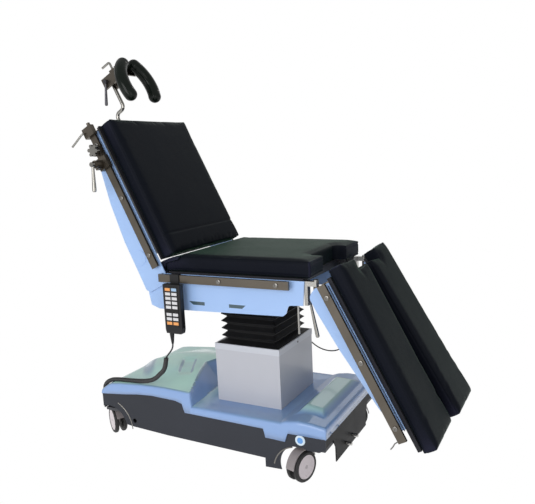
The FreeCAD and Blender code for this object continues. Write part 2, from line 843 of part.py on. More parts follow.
def make_seat_plates():
    """Side plates of the seat, bored for the back section's pivot pins."""
    for side in SIDES:
        plate = body(f"seat_plate_{side}")
        pad(plate, outline(plate, "XZ_Plane", SEAT_PLATE), "plate_wall")
        pin = rings(plate, "XZ_Plane", [("back_hinge_x", HINGE_Z, 9)])
        pocket(plate, pin, "4 * plate_wall")
        rounded = [SEAT_PLATE[i] for i in (4, 6)]
        fillet(plate, 14, lambda edge: runs(edge, "y") and through(edge, rounded))
        place(plate, 0, sided(side, "plate_outer - plate_wall / 2"))


def make_seat_rails():
    """Accessory rails along both sides of the seat."""
    for side in SIDES:
        rail(f"seat_rail_{side}", side, -290, 259, (-20, 211), seat_point)


def make_seat_top():
    """Seat board and pad, notched at the foot end between the legs."""
    notch = ("seat_foot_x - notch_depth", "seat_foot_x + 10")
    under = "seat_top_z - seat_thickness"
    board = body("seat_board")
    thick = (f"{under} - board_thickness", under)
    slab = rectangle(board, "XZ_Plane", (-262, "seat_foot_x - 28"), thick)
    pad(board, slab, "2 * top_half_width - 8")
    gap = rectangle(
        board,
        "XY_Plane",
        ("seat_foot_x - notch_depth - 8", notch[1]),
        ("-notch_half_width - 8", "notch_half_width + 8"),
        under,
    )
    pocket(board, gap, 40)
    cushion = body("seat_pad")
    section = [
        ("seat_foot_x", under),
        ("seat_foot_x", "seat_top_z"),
        (-212, "seat_top_z"),
        (-214, "seat_top_z - 16"),
        (-274, "seat_top_z - 32"),
        (-290, under),
    ]
    pad(cushion, outline(cushion, "XZ_Plane", section), "2 * top_half_width")
    opening = rectangle(
        cushion, "XY_Plane", notch, ("-notch_half_width", "notch_half_width"), "seat_top_z"
    )
    pocket(cushion, opening, 200)
    deep = "seat_foot_x - notch_depth"
    inner = [(deep, "notch_half_width"), (deep, "-notch_half_width")]
    fillet(cushion, 28, lambda edge: runs(edge, "z") and above(edge, inner))


# Back section


def make_back():
    """Side plates, rails, board, pad and frame of the back section."""
    edge = [
        (-79, 66), ("back_length - 28", 66), ("back_length - 28", 96), (430, 137), (304, 164),
        (144, 182), (0, 184), (-64, 186), (-79, 172),
    ]
    corners = [back_point(s, t) for s, t in edge]
    rounded = [corners[i] for i in (0, 7)]
    for side in SIDES:
        plate = body(f"back_plate_{side}")
        pad(plate, outline(plate, "XZ_Plane", corners), "plate_wall")
        pocket(plate, rings(plate, "XZ_Plane", [(0, 0, 9.3)]), 20)
        badge = rings(plate, "XZ_Plane", [(*back_point(58, 147), 30)])
        pad(plate, badge, "plate_wall / 2 + 1.5", both=False, reverse=side == "far")
        fillet(plate, 14, lambda line: runs(line, "y") and through(line, rounded))
        place_back(plate, sided(side, "plate_outer + plate_wall / 2 + 1.5"))
        bolts = (45, 290, "back_length - 80")
        bar = rail(f"back_rail_{side}", side, -8, "back_length - 10", bolts, back_point, 5.5)
        place_back(bar)
    board = body("back_board")
    slab = rectangle(
        board,
        "XZ_Plane",
        (back_point("back_length - 10", 0)[0], back_point(12, 0)[0]),
        ("hinge_drop - back_thickness - board_thickness", "hinge_drop - back_thickness"),
    )
    pad(board, slab, "2 * top_half_width - 4")
    place_back(board)
    cushion = body("back_pad")
    pad(
        cushion,
        rectangle(
            cushion,
            "XZ_Plane",
            (back_point("back_length", 0)[0], back_point(0, 0)[0]),
            ("hinge_drop - back_thickness", "hinge_drop"),
        ),
        "2 * top_half_width - 2 * pad_play",
    )
    place_back(cushion)
    depth = "hinge_drop - back_thickness - board_thickness"
    inner = "plate_outer + 1.5"
    beams = [
        block(
            (back_point(high, 0)[0], back_point(low, 0)[0]),
            (f"-({inner})", inner),
            (f"{depth} - 26", depth),
        )
        for low, high in (("back_length - 52", "back_length - 22"), (45, 65))
    ]
    for side in SIDES:
        strap = (back_point("back_length - 30", 0)[0], back_point(50, 0)[0])
        strap_y = span(side, "top_half_width - 70", "top_half_width - 40")
        beams.append(block(strap, strap_y, (f"{depth} - 26", depth)))
    socket = block(
        (back_point("back_length - 10", 0)[0], back_point("back_length - 65", 0)[0]),
        (-24, 24),
        ("hinge_drop - 174", f"{depth} - 20"),
    )
    bore_start = (back_point("back_length", 0)[0], 0, HEAD_ROD_Z)
    bore = rod("head_rod_radius + running_gap", bore_start, 80, "x")
    place_back(keep(cut(fuse(*beams, socket), bore), "back_frame"))


# Headrest


def make_head_rod():
    """Bent rod: a stem in the socket, two bends, and a cross barrel on top."""
    radius = number("head_rod_radius")
    turns = [(440, 150), (703, 150), (703, HEAD_T), (HEAD_S, HEAD_T)]
    spots = []
    for s, t in turns:
        x, z = back_point(s, t)
        spots.append(FreeCAD.Vector(number(x), 0, number(z)))
    path = rounded_path(spots, [22, 22])
    made = doc.addObject("Part::Feature", "HeadRod")
    made.Shape = swept(path, radius)
    x, z = back_point(HEAD_S, HEAD_T)
    barrel = rod(13, (x, -20, z), 40, "y")
    bolt = rod("head_bolt_radius + running_gap", (x, -22, z), 44, "y")
    place_back(keep(cut(fuse(made, barrel), bolt), "headrest_rod"))


def make_headrest():
    """Clevis with the pads' cross plate, its lever and its crank."""
    x, z = back_point(HEAD_S, HEAD_T)
    cheeks = [
        block((f"{x} - 22", f"{x} + 24"), span(side, 21, 33), (f"{z} - 24", f"{z} + 50"))
        for side in SIDES
    ]
    bridge = block((f"{x} - 22", f"{x} + 24"), (-33, 33), (f"{z} + 34", f"{z} + 56"))
    neck = block((f"{x} - 14", f"{x} + 14"), (-14, 14), (f"{z} + 50", f"{z} + 86"))
    wings = block((f"{x} - 18", f"{x} + 18"), (-58, 58), (f"{z} + 82", f"{z} + 88"))
    nut = block((f"{x} - 42", f"{x} - 18"), (-12, 12), (f"{z} + 18", f"{z} + 46"))
    web = block((f"{x} - 30", f"{x} - 10"), (-12, 12), (f"{z} + 30", f"{z} + 56"))
    hole = rod(5.3, (f"{x} - 50", 0, f"{z} + 32"), 60, "x")
    pins = [rod(5, (x, sided(side, HEAD_PIN_Y), f"{z} + 84"), 20, "z") for side in SIDES]
    parts = fuse(*cheeks, bridge, neck, wings, nut, web, *pins)
    bolt = rod("head_bolt_radius + running_gap", (x, -40, z), 80, "y")
    place_back(keep(cut(parts, hole, bolt), "headrest_clamp"))


def make_head_pads():
    """Two curved round pads, flat behind, that make a horseshoe on the cross plate's pins."""
    for side in SIDES:
        centre_y = number(sided(side, -34))
        x, z = back_point(741, -18)
        centre = FreeCAD.Vector(number(x), centre_y, number(z))
        arc, thick = number("head_arc_radius"), number("head_pad_radius")
        # angles from the foot of the arc to its top, measured from +X
        outward = -1 if side == "near" else 1
        ends = []
        for angle in (-22, 16.5, 55):
            turn = math.radians(angle)
            step = FreeCAD.Vector(-math.sin(turn), outward * math.cos(turn), 0)
            ends.append(centre + step * arc)
        path = Part.Wire([Part.Arc(*ends).toShape()])
        shape = swept(path, thick)
        for end in (ends[0], ends[-1]):
            shape = shape.fuse(Part.makeSphere(thick, end))
        low = number(f"hinge_drop - {HEAD_PAD_BACK_T}") - 60
        behind = Part.makeBox(600, 600, 60, FreeCAD.Vector(centre.x - 300, -300, low))
        pin_x, pin_z = (number(c) for c in back_point(HEAD_S, HEAD_T))
        pin_y = number(sided(side, HEAD_PIN_Y))
        hole = Part.makeCylinder(5.3, 60, FreeCAD.Vector(pin_x, pin_y, pin_z + 44.5))
        made = doc.addObject("Part::Feature", "HeadPad")
        made.Shape = shape.cut(behind).cut(hole).removeSplitter()
        place_back(keep(made, f"head_pad_{side}"))


def make_head_controls():
    """The headrest's dark locking lever and its cranked screw."""
    x, z = world_back(HEAD_S, HEAD_T)
    lever = handle("headrest_lever", 100, 4.5, 6.5, 9, 14, ("head_bolt_radius", 76), "far")
    place(lever, x, -40.3, z, 4)
    shaft_x, shaft_z = back_point(HEAD_S + 18, HEAD_T - 32)
    start = FreeCAD.Vector(number(shaft_x) + 24, 0, number(shaft_z))
    spots = [start, start + FreeCAD.Vector(-84, 0, 0), start + FreeCAD.Vector(-84, 0, -46)]
    made = doc.addObject("Part::Feature", "Crank")
    made.Shape = swept(rounded_path(spots, [9]), 5)
    place_back(keep(made, "headrest_crank"))


# Leg sections


LEG_EDGE = [
    (44, 66), ("leg_length - 111", 66), ("leg_length - 111", 93), ("leg_length - 205", 116),
    (264, 144), (112, 155), (56, 155), (40, 120),
]


def make_legs():
    """Each leg: knuckle, bent side plate, rail, board, pad and locking lever."""
    for side in SIDES:
        make_knuckle(side)
        make_leg_plate(side)
        ends = (40, "leg_length - 81")
        bolts = (86, "leg_length / 2 - 22", "leg_length - 132")
        place_leg(rail(f"leg_rail_{side}", side, *ends, bolts, leg_point), side)
        make_leg_cushion(side)
        spindle = ("lever_pin_radius", 21)
        lever = handle(f"leg_lever_{side}", 132, 4.5, 7, 9, 13, spindle, side)
        place(lever, LEVER_X, sided(side, "swing_pin_y - 20.8"), LEVER_Z, -11)


def make_knuckle(side):
    """Swing barrel on the upright pin, a web and the pitch barrel with its pin."""
    pin = ("swing_pin_x", sided(side, "swing_pin_y"))
    low, high = "seat_top_z - 134.7", f"{LUG_Z} - running_gap"
    barrel = rod(9.7, (*pin, low), f"({high}) - ({low})", "z")
    web = block(
        ("swing_pin_x", "leg_hinge_x + 13"),
        span(side, "swing_pin_y - 9", "swing_pin_y + 8"),
        ("seat_top_z - 126", high),
    )
    arm = block(
        ("leg_hinge_x - 8", "leg_hinge_x + 13"),
        span(side, "swing_pin_y - 12", "swing_pin_y + 8"),
        ("seat_top_z - 126", HINGE_Z),
    )
    pitch = span(side, "swing_pin_y - 54", "swing_pin_y + 8")[0]
    roll = rod(13, ("leg_hinge_x", pitch, HINGE_Z), 62, "y")
    ends = span(side, "plate_outer - 82", "plate_outer + 4")[0]
    axle = rod(8, ("leg_hinge_x", ends, HINGE_Z), 86, "y")
    bore = rod("swing_pin_radius + running_gap", (*pin, f"{low} - 5"), 60, "z")
    keep(cut(fuse(barrel, web, arm, roll, axle), bore), f"leg_knuckle_{side}")


def make_leg_plate(side):
    """Side plate with a lobe round the hinge, a flange and an inner lug."""
    plate = body(f"leg_plate_{side}")
    corners = [leg_point(s, t) for s, t in LEG_EDGE]
    pad(plate, outline(plate, "XZ_Plane", corners), "plate_wall")
    fillet(plate, 26, lambda line: runs(line, "y") and through(line, corners[5:7]))
    inward = side == "far"
    away = "plate_wall / 2 - 1" if side == "near" else "-plate_wall / 2 + 1"
    under = "hinge_drop - leg_thickness - board_thickness - 7"
    flange = rectangle(
        plate, "XZ_Plane", (corners[0][0], corners[1][0]), (f"{under} - 3", under), away
    )
    pad(plate, flange, 80, both=False, reverse=not inward)
    lug = [(-14, f"{under} - 1"), (-14, -6), (-8, -14), (8, -14), (14, -6), (14, f"{under} - 1")]
    reach = "(70 - plate_wall / 2)"
    away = f"-({reach})" if side == "near" else reach
    pad(plate, outline(plate, "XZ_Plane", lug, away), 10, both=False, reverse=not inward)
    for where, deep in ((None, 20), (f"{away}", 30)):
        pocket(plate, rings(plate, "XZ_Plane", [(0, 0, 8.2)], where), deep)
    place_leg(plate, side, sided(side, "plate_outer - plate_wall / 2"))


def make_leg_cushion(side):
    """Leg board and pad with the notch that the legs leave at the seat."""
    under = "hinge_drop - leg_thickness"
    board = body(f"leg_board_{side}")
    slab = rectangle(
        board,
        "XZ_Plane",
        (leg_point(30, 0)[0], leg_point("leg_length - 25", 0)[0]),
        (f"{under} - board_thickness - 7", under),
    )
    pad(board, slab, "top_half_width - leg_gap / 2 - 10")
    cushion = body(f"leg_pad_{side}")
    slab = rectangle(
        cushion,
        "XZ_Plane",
        (leg_point(0, 0)[0], leg_point("leg_length", 0)[0]),
        (under, "hinge_drop"),
    )
    pad(cushion, slab, "top_half_width - leg_gap / 2 - pad_play")
    middle = "(top_half_width - pad_play + leg_gap / 2) / 2"
    inner = (f"notch_half_width - {middle}", f"leg_gap / 2 - 10 - {middle}")
    if side == "near":
        inner = tuple(f"-({edge})" for edge in reversed(inner))
    deep = leg_point("notch_depth - 6", 0)[0]
    ends = (f"{LEG_START} - 10", deep)
    low, high = sorted(inner, key=number)
    pocket(cushion, rectangle(cushion, "XY_Plane", ends, (low, high), "hinge_drop"), 140)
    shallow = (f"{LEG_START} - 10", f"{deep} + 4")
    wider = (f"{low} - 6", f"{high} + 6")
    pocket(board, rectangle(board, "XY_Plane", shallow, wider, under), 60)
    for piece in (board, cushion):
        place_leg(piece, side, sided(side, middle))


# Accessories on the near rails


CLAMP_S = 443
END_CLAMP_S = "(back_length - 22)"


def make_clamps():
    """Rail clamp with its handle, the star knob and the clamp on the rail's end."""
    rail_z = "hinge_drop - rail_depth"
    jaw_y = ("-rail_outer - 13", "-rail_outer + 16")
    knob_stop = "-rail_outer - running_gap"
    for label, s, half in (("rail_clamp", CLAMP_S, 24), ("end_clamp", END_CLAMP_S, 20)):
        x = back_point(s, 0)[0]
        jaw = block((f"{x} - {half}", f"{x} + {half}"), jaw_y, (f"{rail_z} - 26", f"{rail_z} + 22"))
        slot = block(
            (f"{x} - 40", f"{x} + 40"),
            (knob_stop, "-rail_outer + rail_thickness + running_gap"),
            (
                f"{rail_z} - rail_height / 2 - running_gap",
                f"{rail_z} + rail_height / 2 + running_gap",
            ),
        )
        gap_y = ("-rail_outer + 8", "-rail_outer + 20")
        gap = block((f"{x} - 40", f"{x} + 40"), gap_y, (f"{rail_z} - 9", f"{rail_z} + 30"))
        parts = [jaw]
        if label == "rail_clamp":
            boss = (x, "-rail_outer - 48", f"{rail_z} - 10")
            parts.append(rod(15, boss, 37, "y"))
            rib = ("-rail_outer - 35", "-rail_outer - 12")
            parts.append(block((f"{x} + 4", f"{x} + 18"), rib, (f"{rail_z} - 26", f"{rail_z} - 8")))
            bore = rod(6.3, (x, "-rail_outer - 50", f"{rail_z} - 10"), 30, "y")
            # a tongue along the rail carries the star knob's spindle
            knob_x = back_point(KNOB_S, 0)[0]
            tongue = (f"{knob_x} - 14", f"{x} - {half} + 1")
            tongue_z = (f"{rail_z} - 12", f"{rail_z} + 12")
            parts.append(block(tongue, (jaw_y[0], knob_stop), tongue_z))
            knob_spot = (knob_x, "-rail_outer - 20", f"hinge_drop - ({KNOB_T})")
            slot = fuse(slot, rod(5.3, knob_spot, 30, "y"))
        else:
            stub = (f"{x} - {half} - 10", "-rail_outer - 6", f"{rail_z} + 12")
            parts.append(rod(7, stub, 12, "x"))
            bore = rod(4.3, (x, "-rail_outer - 20", f"{rail_z} - 18"), 12, "y")
        place_back(keep(cut(fuse(*parts), slot, gap, bore), label))
    x, z = world_back(CLAMP_S, "rail_depth + 10")
    lever = handle("clamp_handle", 104, 5.5, 8, 9, 18, (6, 36), "far")
    place(lever, x, "-rail_outer - 57.3", z, 2)
    make_star_knob()
    x, z = back_point(END_CLAMP_S, "rail_depth + 18")
    start = FreeCAD.Vector(number(x), number("-rail_outer - 8.3"), number(z))
    spots = [start, start + FreeCAD.Vector(0, -18, 0), start + FreeCAD.Vector(20, -26, -66)]
    made = doc.addObject("Part::Feature", "EndLever")
    made.Shape = swept(rounded_path(spots, [7]), 4)
    place_back(keep(made, "end_lever"))


def make_star_knob():
    """Six-lobed knob on a spindle, its lobes made by a polar pattern."""
    knob = body("star_knob")
    pad(knob, rings(knob, "XZ_Plane", [(0, 0, 16)]), 14)
    lobe = rings(knob, "XZ_Plane", [("18", "0", "7")])
    first = pad(knob, lobe, 14)
    pattern = knob.newObject("PartDesign::PolarPattern", "PolarPattern")
    pattern.Originals = [first]
    pattern.Axis = (lobe, ["N_Axis"])
    pattern.Angle = 360
    pattern.Occurrences = 6
    knob.Tip = pattern
    doc.recompute()
    pad(knob, rings(knob, "XZ_Plane", [(0, 0, 5)]), 23, both=False, reverse=True)
    x, z = world_back(KNOB_S, KNOB_T)
    place(knob, x, "-rail_outer - 28.2", z, "back_angle")


def make_pendant():
    """Hand control hung on the seat rail: housing, hook and cord relief."""
    low, high = "seat_top_z - 288", "seat_top_z - 100"
    housing = body("pendant")
    corners = [
        (-14, low), (52, low), (58, f"{low} + 22"), (58, high), (-20, high), (-20, f"{low} + 22")
    ]
    pad(housing, outline(housing, "XZ_Plane", corners), 26)
    fillet(housing, 4, lambda line: runs(line, "z"))
    relief = [("0", f"{low} + 4"), ("9", f"{low} + 4"), ("9", f"{low} - 6"), ("4.5", f"{low} - 44")]
    relief.append(("0", f"{low} - 44"))
    revolve(housing, outline(housing, "XZ_Plane", relief))
    # the hook goes over the rail, in a frame whose Y starts at the housing's middle
    over = "seat_top_z - hinge_drop + 1 + rail_height / 2 + 0.4"
    outer, inner = "16.1", "16.1 + rail_thickness + 0.8"
    hook = [
        ("12", "seat_top_z - 130"),
        (outer, "seat_top_z - 130"),
        (outer, over),
        (inner, over),
        (inner, f"{over} - 20"),
        (f"{inner} + 2.8", f"{over} - 20"),
        (f"{inner} + 2.8", f"{over} + 3"),
        ("12", f"{over} + 3"),
    ]
    pad(housing, outline(housing, "YZ_Plane", hook, 19), 40)
    place(housing, PENDANT_X, PENDANT_Y)


def make_pendant_keys():
    """Key panel: a thin plate with two columns of keys, five rows and then three."""
    panel = body("pendant_keys")
    top = "seat_top_z - 118"
    face = rectangle(panel, "XZ_Plane", (-10, 48), (f"{top} - 144", f"{top} + 12"), 13)
    pad(panel, face, 1.2, both=False)
    for drop, rows in ((0, 5), (96, 3)):
        row = on_plane(panel, "XZ_Plane", 14.2)
        for left in (-7, 22):
            z = (f"{top} - {drop} - 5.5", f"{top} - {drop} + 5.5")
            add_loop(row, [(left, z[0]), (left + 23, z[0]), (left + 23, z[1]), (left, z[1])])
        first = pad(panel, row, 1, both=False)
        pattern = panel.newObject("PartDesign::LinearPattern", "LinearPattern")
        pattern.Originals = [first]
        pattern.Direction = (row, ["V_Axis"])
        pattern.Reversed = True
        pattern.Length = 17 * (rows - 1)
        pattern.Occurrences = rows
        panel.Tip = pattern
        doc.recompute()
    place(panel, PENDANT_X, PENDANT_Y)


# Cords


COIL_RADIUS = 9.5
LEAD_RADIUS = 3
CABLE_RADIUS = 2.6
RELIEF_Z = "seat_top_z - 332"
HUMP_Z = "low_deck_z + hump_height"
LEAD_ROUTE = [
    (PENDANT_X, PENDANT_Y, f"{RELIEF_Z} - 0.3"),
    ("-233", PENDANT_Y, f"{RELIEF_Z} - 16"),
    ("-243", "-rail_outer - 18", f"{RELIEF_Z} - 32"),
    ("-256", "-rail_outer - 19.5", f"{RELIEF_Z} - 46"),
    ("-266", "-rail_outer - 20", f"{RELIEF_Z} - 60"),
]
COIL_ROUTE = [
    ("-266.3", "-rail_outer - 20", f"{RELIEF_Z} - 61.4"),
    ("-272", "-rail_outer - 19", f"{RELIEF_Z} - 90"),
    ("-291", "-rail_outer - 10", f"{RELIEF_Z} - 119"),
    ("-322", "-base_half_width - 24", f"{HUMP_Z} + 68"),
    ("-356", "-base_half_width - 10", f"{HUMP_Z} + 41"),
    ("-395", "-base_half_width + 2", f"{HUMP_Z} + 22"),
    ("-440", "-base_half_width + 9", f"{HUMP_Z} + 11"),
    ("base_head_x + 169", "-base_half_width + 15", f"{HUMP_Z} + 4"),
    ("base_head_x + 119", "-base_half_width + 20", f"{HUMP_Z} - 1"),
    ("base_head_x + 71", "-base_half_width + 26", f"{HUMP_Z} - 7"),
    ("base_head_x + 29", "-base_half_width + 33", f"{HUMP_Z} - 16"),
    ("base_head_x - 8", "-base_half_width + 40", f"{HUMP_Z} - 36"),
    ("base_head_x - 30", "-base_half_width + 48", f"{HUMP_Z} - 64"),
    ("base_head_x - 28", "-base_half_width + 55", f"{HUMP_Z} - 89"),
    ("base_head_x - 8", "-base_half_width + 58", f"{HUMP_Z} - 100"),
]
CABLE_ROUTE = [
    ("100", "column_width / 2 + 15", "column_top_z - 51"),
    ("101", "column_width / 2 + 32", "column_top_z - 54"),
    ("108", "column_width / 2 + 46", "column_top_z - 67"),
    ("123", "column_width / 2 + 53", "column_top_z - 83"),
    ("144", "column_width / 2 + 54", "column_top_z - 97"),
    ("174", "column_width / 2 + 52", "column_top_z - 106"),
    ("208", "column_width / 2 + 50", "column_top_z - 107"),
    ("240", "column_width / 2 + 48", "column_top_z - 98"),
    ("266", "column_width / 2 + 47", "column_top_z - 76"),
    ("284", "column_width / 2 + 46", "column_top_z - 44"),
    ("295", "column_width / 2 + 46", "column_top_z - 2"),
    ("300", "column_width / 2 + 46", "column_top_z + 52"),
    ("300", "column_width / 2 + 47", "column_top_z + 108"),
    ("297", "column_width / 2 + 48", "seat_top_z - 206"),
    ("294", "column_width / 2 + 50", "seat_top_z - 164"),
    ("291", "column_width / 2 + 54", "seat_top_z - 132"),
    ("290", "column_width / 2 + 61", "seat_top_z - 110"),
    ("290", "top_half_width - 42", "seat_top_z - 98"),
    ("290", "top_half_width - 31", "seat_top_z - 96"),
]


def cord(label, route, radius):
    """A tube along a route, whose arcs are as large as the runs allow."""
    spots = [FreeCAD.Vector(*(number(text) for text in point)) for point in route]
    radii = []
    for before, corner, after in zip(spots, spots[1:], spots[2:]):
        back, ahead = before - corner, after - corner
        turn = math.pi - back.getAngle(ahead)
        radii.append(0.45 * min(back.Length, ahead.Length) / math.tan(turn / 2))
    path = rounded_path(spots, radii)
    made = doc.addObject("Part::Feature", label)
    made.Shape = swept(path, radius)
    expected = math.pi * radius**2 * path.Length
    print(
        f"{label}: {path.Length:.0f} mm long, smallest radius {min(radii):.0f} mm, "
        f"volume {made.Shape.Volume / expected:.4f} of section times length"
    )
    return keep(made, label)


def make_cords():
    """The hand control's lead and curly cord, its gland, and the link cable."""
    cord("pendant_lead", LEAD_ROUTE, LEAD_RADIUS)
    cord("pendant_cord", COIL_ROUTE, COIL_RADIUS)
    cord("link_cable", CABLE_ROUTE, CABLE_RADIUS)
    y, z = "-base_half_width + 58", f"{HUMP_Z} - 100"
    flange = rod(16, ("base_head_x - 3", y, z), 3, "x")
    collar = rod(12, ("base_head_x - 8", y, z), 6, "x")
    keep(fuse(flange, collar), "cord_gland")


# Build every sub-part, check it and write it


make_chassis()
make_cover()
make_skirts()
make_foot_plate()
make_column_cover()
make_casters()
make_lift()
make_bellows()
make_tilt_head()
make_seat_frame()
make_seat_plates()
make_seat_rails()
make_seat_top()
make_back()
make_head_rod()
make_headrest()
make_head_pads()
make_head_controls()
make_legs()
make_clamps()
make_pendant()
make_pendant_keys()
make_cords()
doc.recompute()
os.makedirs(OUT, exist_ok=True)
for thing in doc.Objects:
    if {"Invalid", "Error"} & set(thing.State):
        raise RuntimeError(f"{thing.Label} failed: {thing.State}")
for node in NODES:
    if node.Shape.isNull() or not node.Shape.isValid():
        raise RuntimeError(f"{node.Label} has no valid shape")
    node.Shape.exportStep(f"{OUT}/{node.Label}.step")
    box = node.Shape.BoundBox
    print(node.Label, len(node.Shape.Solids), round(node.Shape.Volume / 1000), box)
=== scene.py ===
import math

import bpy
import numpy as np
from mathutils import Matrix


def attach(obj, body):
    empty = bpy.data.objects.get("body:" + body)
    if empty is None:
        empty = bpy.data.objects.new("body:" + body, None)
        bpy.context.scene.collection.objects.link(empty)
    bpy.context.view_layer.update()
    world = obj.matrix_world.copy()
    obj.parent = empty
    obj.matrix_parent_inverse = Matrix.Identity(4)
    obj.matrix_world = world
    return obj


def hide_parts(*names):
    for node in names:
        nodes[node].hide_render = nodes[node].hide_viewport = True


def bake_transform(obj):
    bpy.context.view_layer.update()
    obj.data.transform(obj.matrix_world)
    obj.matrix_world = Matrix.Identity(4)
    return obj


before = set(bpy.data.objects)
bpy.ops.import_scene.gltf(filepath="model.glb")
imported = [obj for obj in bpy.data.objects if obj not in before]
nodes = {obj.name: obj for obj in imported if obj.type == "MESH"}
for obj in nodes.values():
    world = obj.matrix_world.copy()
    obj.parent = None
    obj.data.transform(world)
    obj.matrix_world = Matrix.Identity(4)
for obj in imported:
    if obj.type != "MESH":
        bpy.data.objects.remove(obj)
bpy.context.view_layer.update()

MM = 0.001
scene = bpy.context.scene
SIDES = (("near", -1.0), ("far", 1.0))


def shown(name, data):
    """A new object with these data, linked to the scene."""
    made = bpy.data.objects.new(name, data)
    scene.collection.objects.link(made)
    return made


# The photographer's place.
# A normal lens at chest height, looking down a little at the near side from towards the foot end.
# The place, the turn and the lens were worked out from the straight edges of the base and the rails.
EYE = np.array((1153.3, -2104.4, 1171.3)) * MM
YAW, PITCH, ROLL = np.radians((28.5, 9.6, -2.8))
PHOTO_WIDTH, PHOTO_HEIGHT = 535, 504
FOCAL_PIXELS = 610.1
LENS_AXIS = (263.1, 258.1)
SENSOR = 36.0

ahead = np.array((-math.sin(YAW) * math.cos(PITCH), math.cos(YAW) * math.cos(PITCH), -math.sin(PITCH)))
level = np.array((math.cos(YAW), math.sin(YAW), 0.0))
over = np.cross(level, ahead)
camera_data = bpy.data.cameras.new("camera")
camera_data.sensor_width = SENSOR
camera_data.lens = FOCAL_PIXELS / PHOTO_WIDTH * SENSOR
camera_data.shift_x = (PHOTO_WIDTH / 2 - LENS_AXIS[0]) / PHOTO_WIDTH
camera_data.shift_y = (LENS_AXIS[1] - PHOTO_HEIGHT / 2) / PHOTO_WIDTH
camera = shown("camera", camera_data)
pose = np.eye(4)
pose[:3, 0] = math.cos(ROLL) * level + math.sin(ROLL) * over
pose[:3, 1] = math.cos(ROLL) * over - math.sin(ROLL) * level
pose[:3, 2] = -ahead
pose[:3, 3] = EYE
camera.matrix_world = Matrix(pose.tolist())
scene.camera = camera


def arithmetic(operation, reflected=False):
    """A method that adds one Math node, with the wire as its second value if reflected."""
    def method(wire, other=None):
        pair = {0: other, 1: wire} if reflected else {0: wire, 1: other}
        return wire.finish.node("ShaderNodeMath", {"operation": operation}, pair)
    return method


class Wire:
    """An output of a shader node. Arithmetic on wires and numbers adds Math nodes to the same finish."""

    def __init__(self, finish, socket):
        self.finish, self.socket = finish, socket

    __add__ = __radd__ = arithmetic("ADD")
    __sub__ = arithmetic("SUBTRACT")
    __rsub__ = arithmetic("SUBTRACT", reflected=True)
    __mul__ = __rmul__ = arithmetic("MULTIPLY")
    __pow__ = arithmetic("POWER")
    __gt__ = arithmetic("GREATER_THAN")
    __lt__ = arithmetic("LESS_THAN")
    __abs__ = arithmetic("ABSOLUTE")


class Finish:
    """A material: one Principled shader, whose constants are set on its own sockets, and what feeds it."""

    def __init__(self, name, **constants):
        self.material = bpy.data.materials.new(name)
        self.material.use_nodes = True
        self.tree = self.material.node_tree
        self.shader = self.tree.nodes["Principled BSDF"]
        for socket, value in constants.items():
            self.shader.inputs[socket.replace("_", " ")].default_value = value

    def node(self, kind, settings=None, inputs=None, out=0):
        """Add a node: its settings first, then a value or a wire for each input; returns one output."""
        made = self.tree.nodes.new(kind)
        for key, value in (settings or {}).items():
            setattr(made, key, value)
        for key, value in (inputs or {}).items():
            if isinstance(value, Wire):
                self.tree.links.new(value.socket, made.inputs[key])
            elif value is not None:
                made.inputs[key].default_value = value
        return Wire(self, made.outputs[out])

    def place(self, stretch=(1.0, 1.0, 1.0), turn=0.0):
        """Object coordinates, turned about Y by turn and then stretched."""
        spot = self.node("ShaderNodeTexCoord", out="Object")
        if turn:
            facts = {"Vector": spot, "Angle": turn}
            spot = self.node("ShaderNodeVectorRotate", {"rotation_type": "Y_AXIS"}, facts)
        if stretch == (1.0, 1.0, 1.0):
            return spot
        return self.vector("MULTIPLY", spot, stretch)

    def vector(self, operation, first, second=None, out=0):
        """Arithmetic on vectors."""
        return self.node("ShaderNodeVectorMath", {"operation": operation}, {0: first, 1: second}, out)

    def axis(self, letter, vector=None):
        """One part of a vector, or of the Object coordinates if none is given."""
        return self.node("ShaderNodeSeparateXYZ", {}, {0: vector or self.place()}, letter)

    def noise(self, spot, scale, detail=3.0, rough=0.55):
        """Cloudy values from 0 to 1."""
        facts = {"Vector": spot, "Scale": scale, "Detail": detail, "Roughness": rough}
        return self.node("ShaderNodeTexNoise", {}, facts, "Fac")

    def ramp(self, value, low, high):
        """0 below low, 1 above high and a smooth step between."""
        facts = {"Value": value, "From Min": low, "From Max": high}
        return self.node("ShaderNodeMapRange", {"interpolation_type": "SMOOTHSTEP"}, facts)

    def blend(self, share, first, second):
        """The first colour where share is 0 and the second where it is 1."""
        pair = [c if isinstance(c, Wire) else (*c, 1.0) for c in (first, second)]
        return self.node("ShaderNodeMix", {"data_type": "RGBA"}, {0: share, 6: pair[0], 7: pair[1]}, 2)

    def bump(self, height, depth, strength=1.0):
        """Relief of the given depth in metres on the shader's normal."""
        facts = {"Height": height, "Distance": depth, "Strength": strength}
        self.feed(Normal=self.node("ShaderNodeBump", {}, facts, "Normal"))

    def feed(self, **wires):
        """Link wires to the shader's inputs."""
        for socket, wire in wires.items():
            self.tree.links.new(wire.socket, self.shader.inputs[socket.replace("_", " ")])

    def on(self, *names):
        """Give CAD nodes this finish."""
        for name in names:
            mesh = nodes[name].data
            mesh.materials.clear()
            mesh.materials.append(self.material)


def clouded(name, cloud, tones, rough, relief=None, **constants):
    """A finish on one noise of (scale, detail).

    It blends two tones, and the roughness is rough[0] * noise + rough[1].
    """
    made = Finish(name, **constants)
    noise = made.noise(made.place(), *cloud)
    made.feed(Base_Color=made.blend(noise, *tones), Roughness=noise * rough[0] + rough[1])
    if relief:
        made.bump(noise, *relief)
    return made


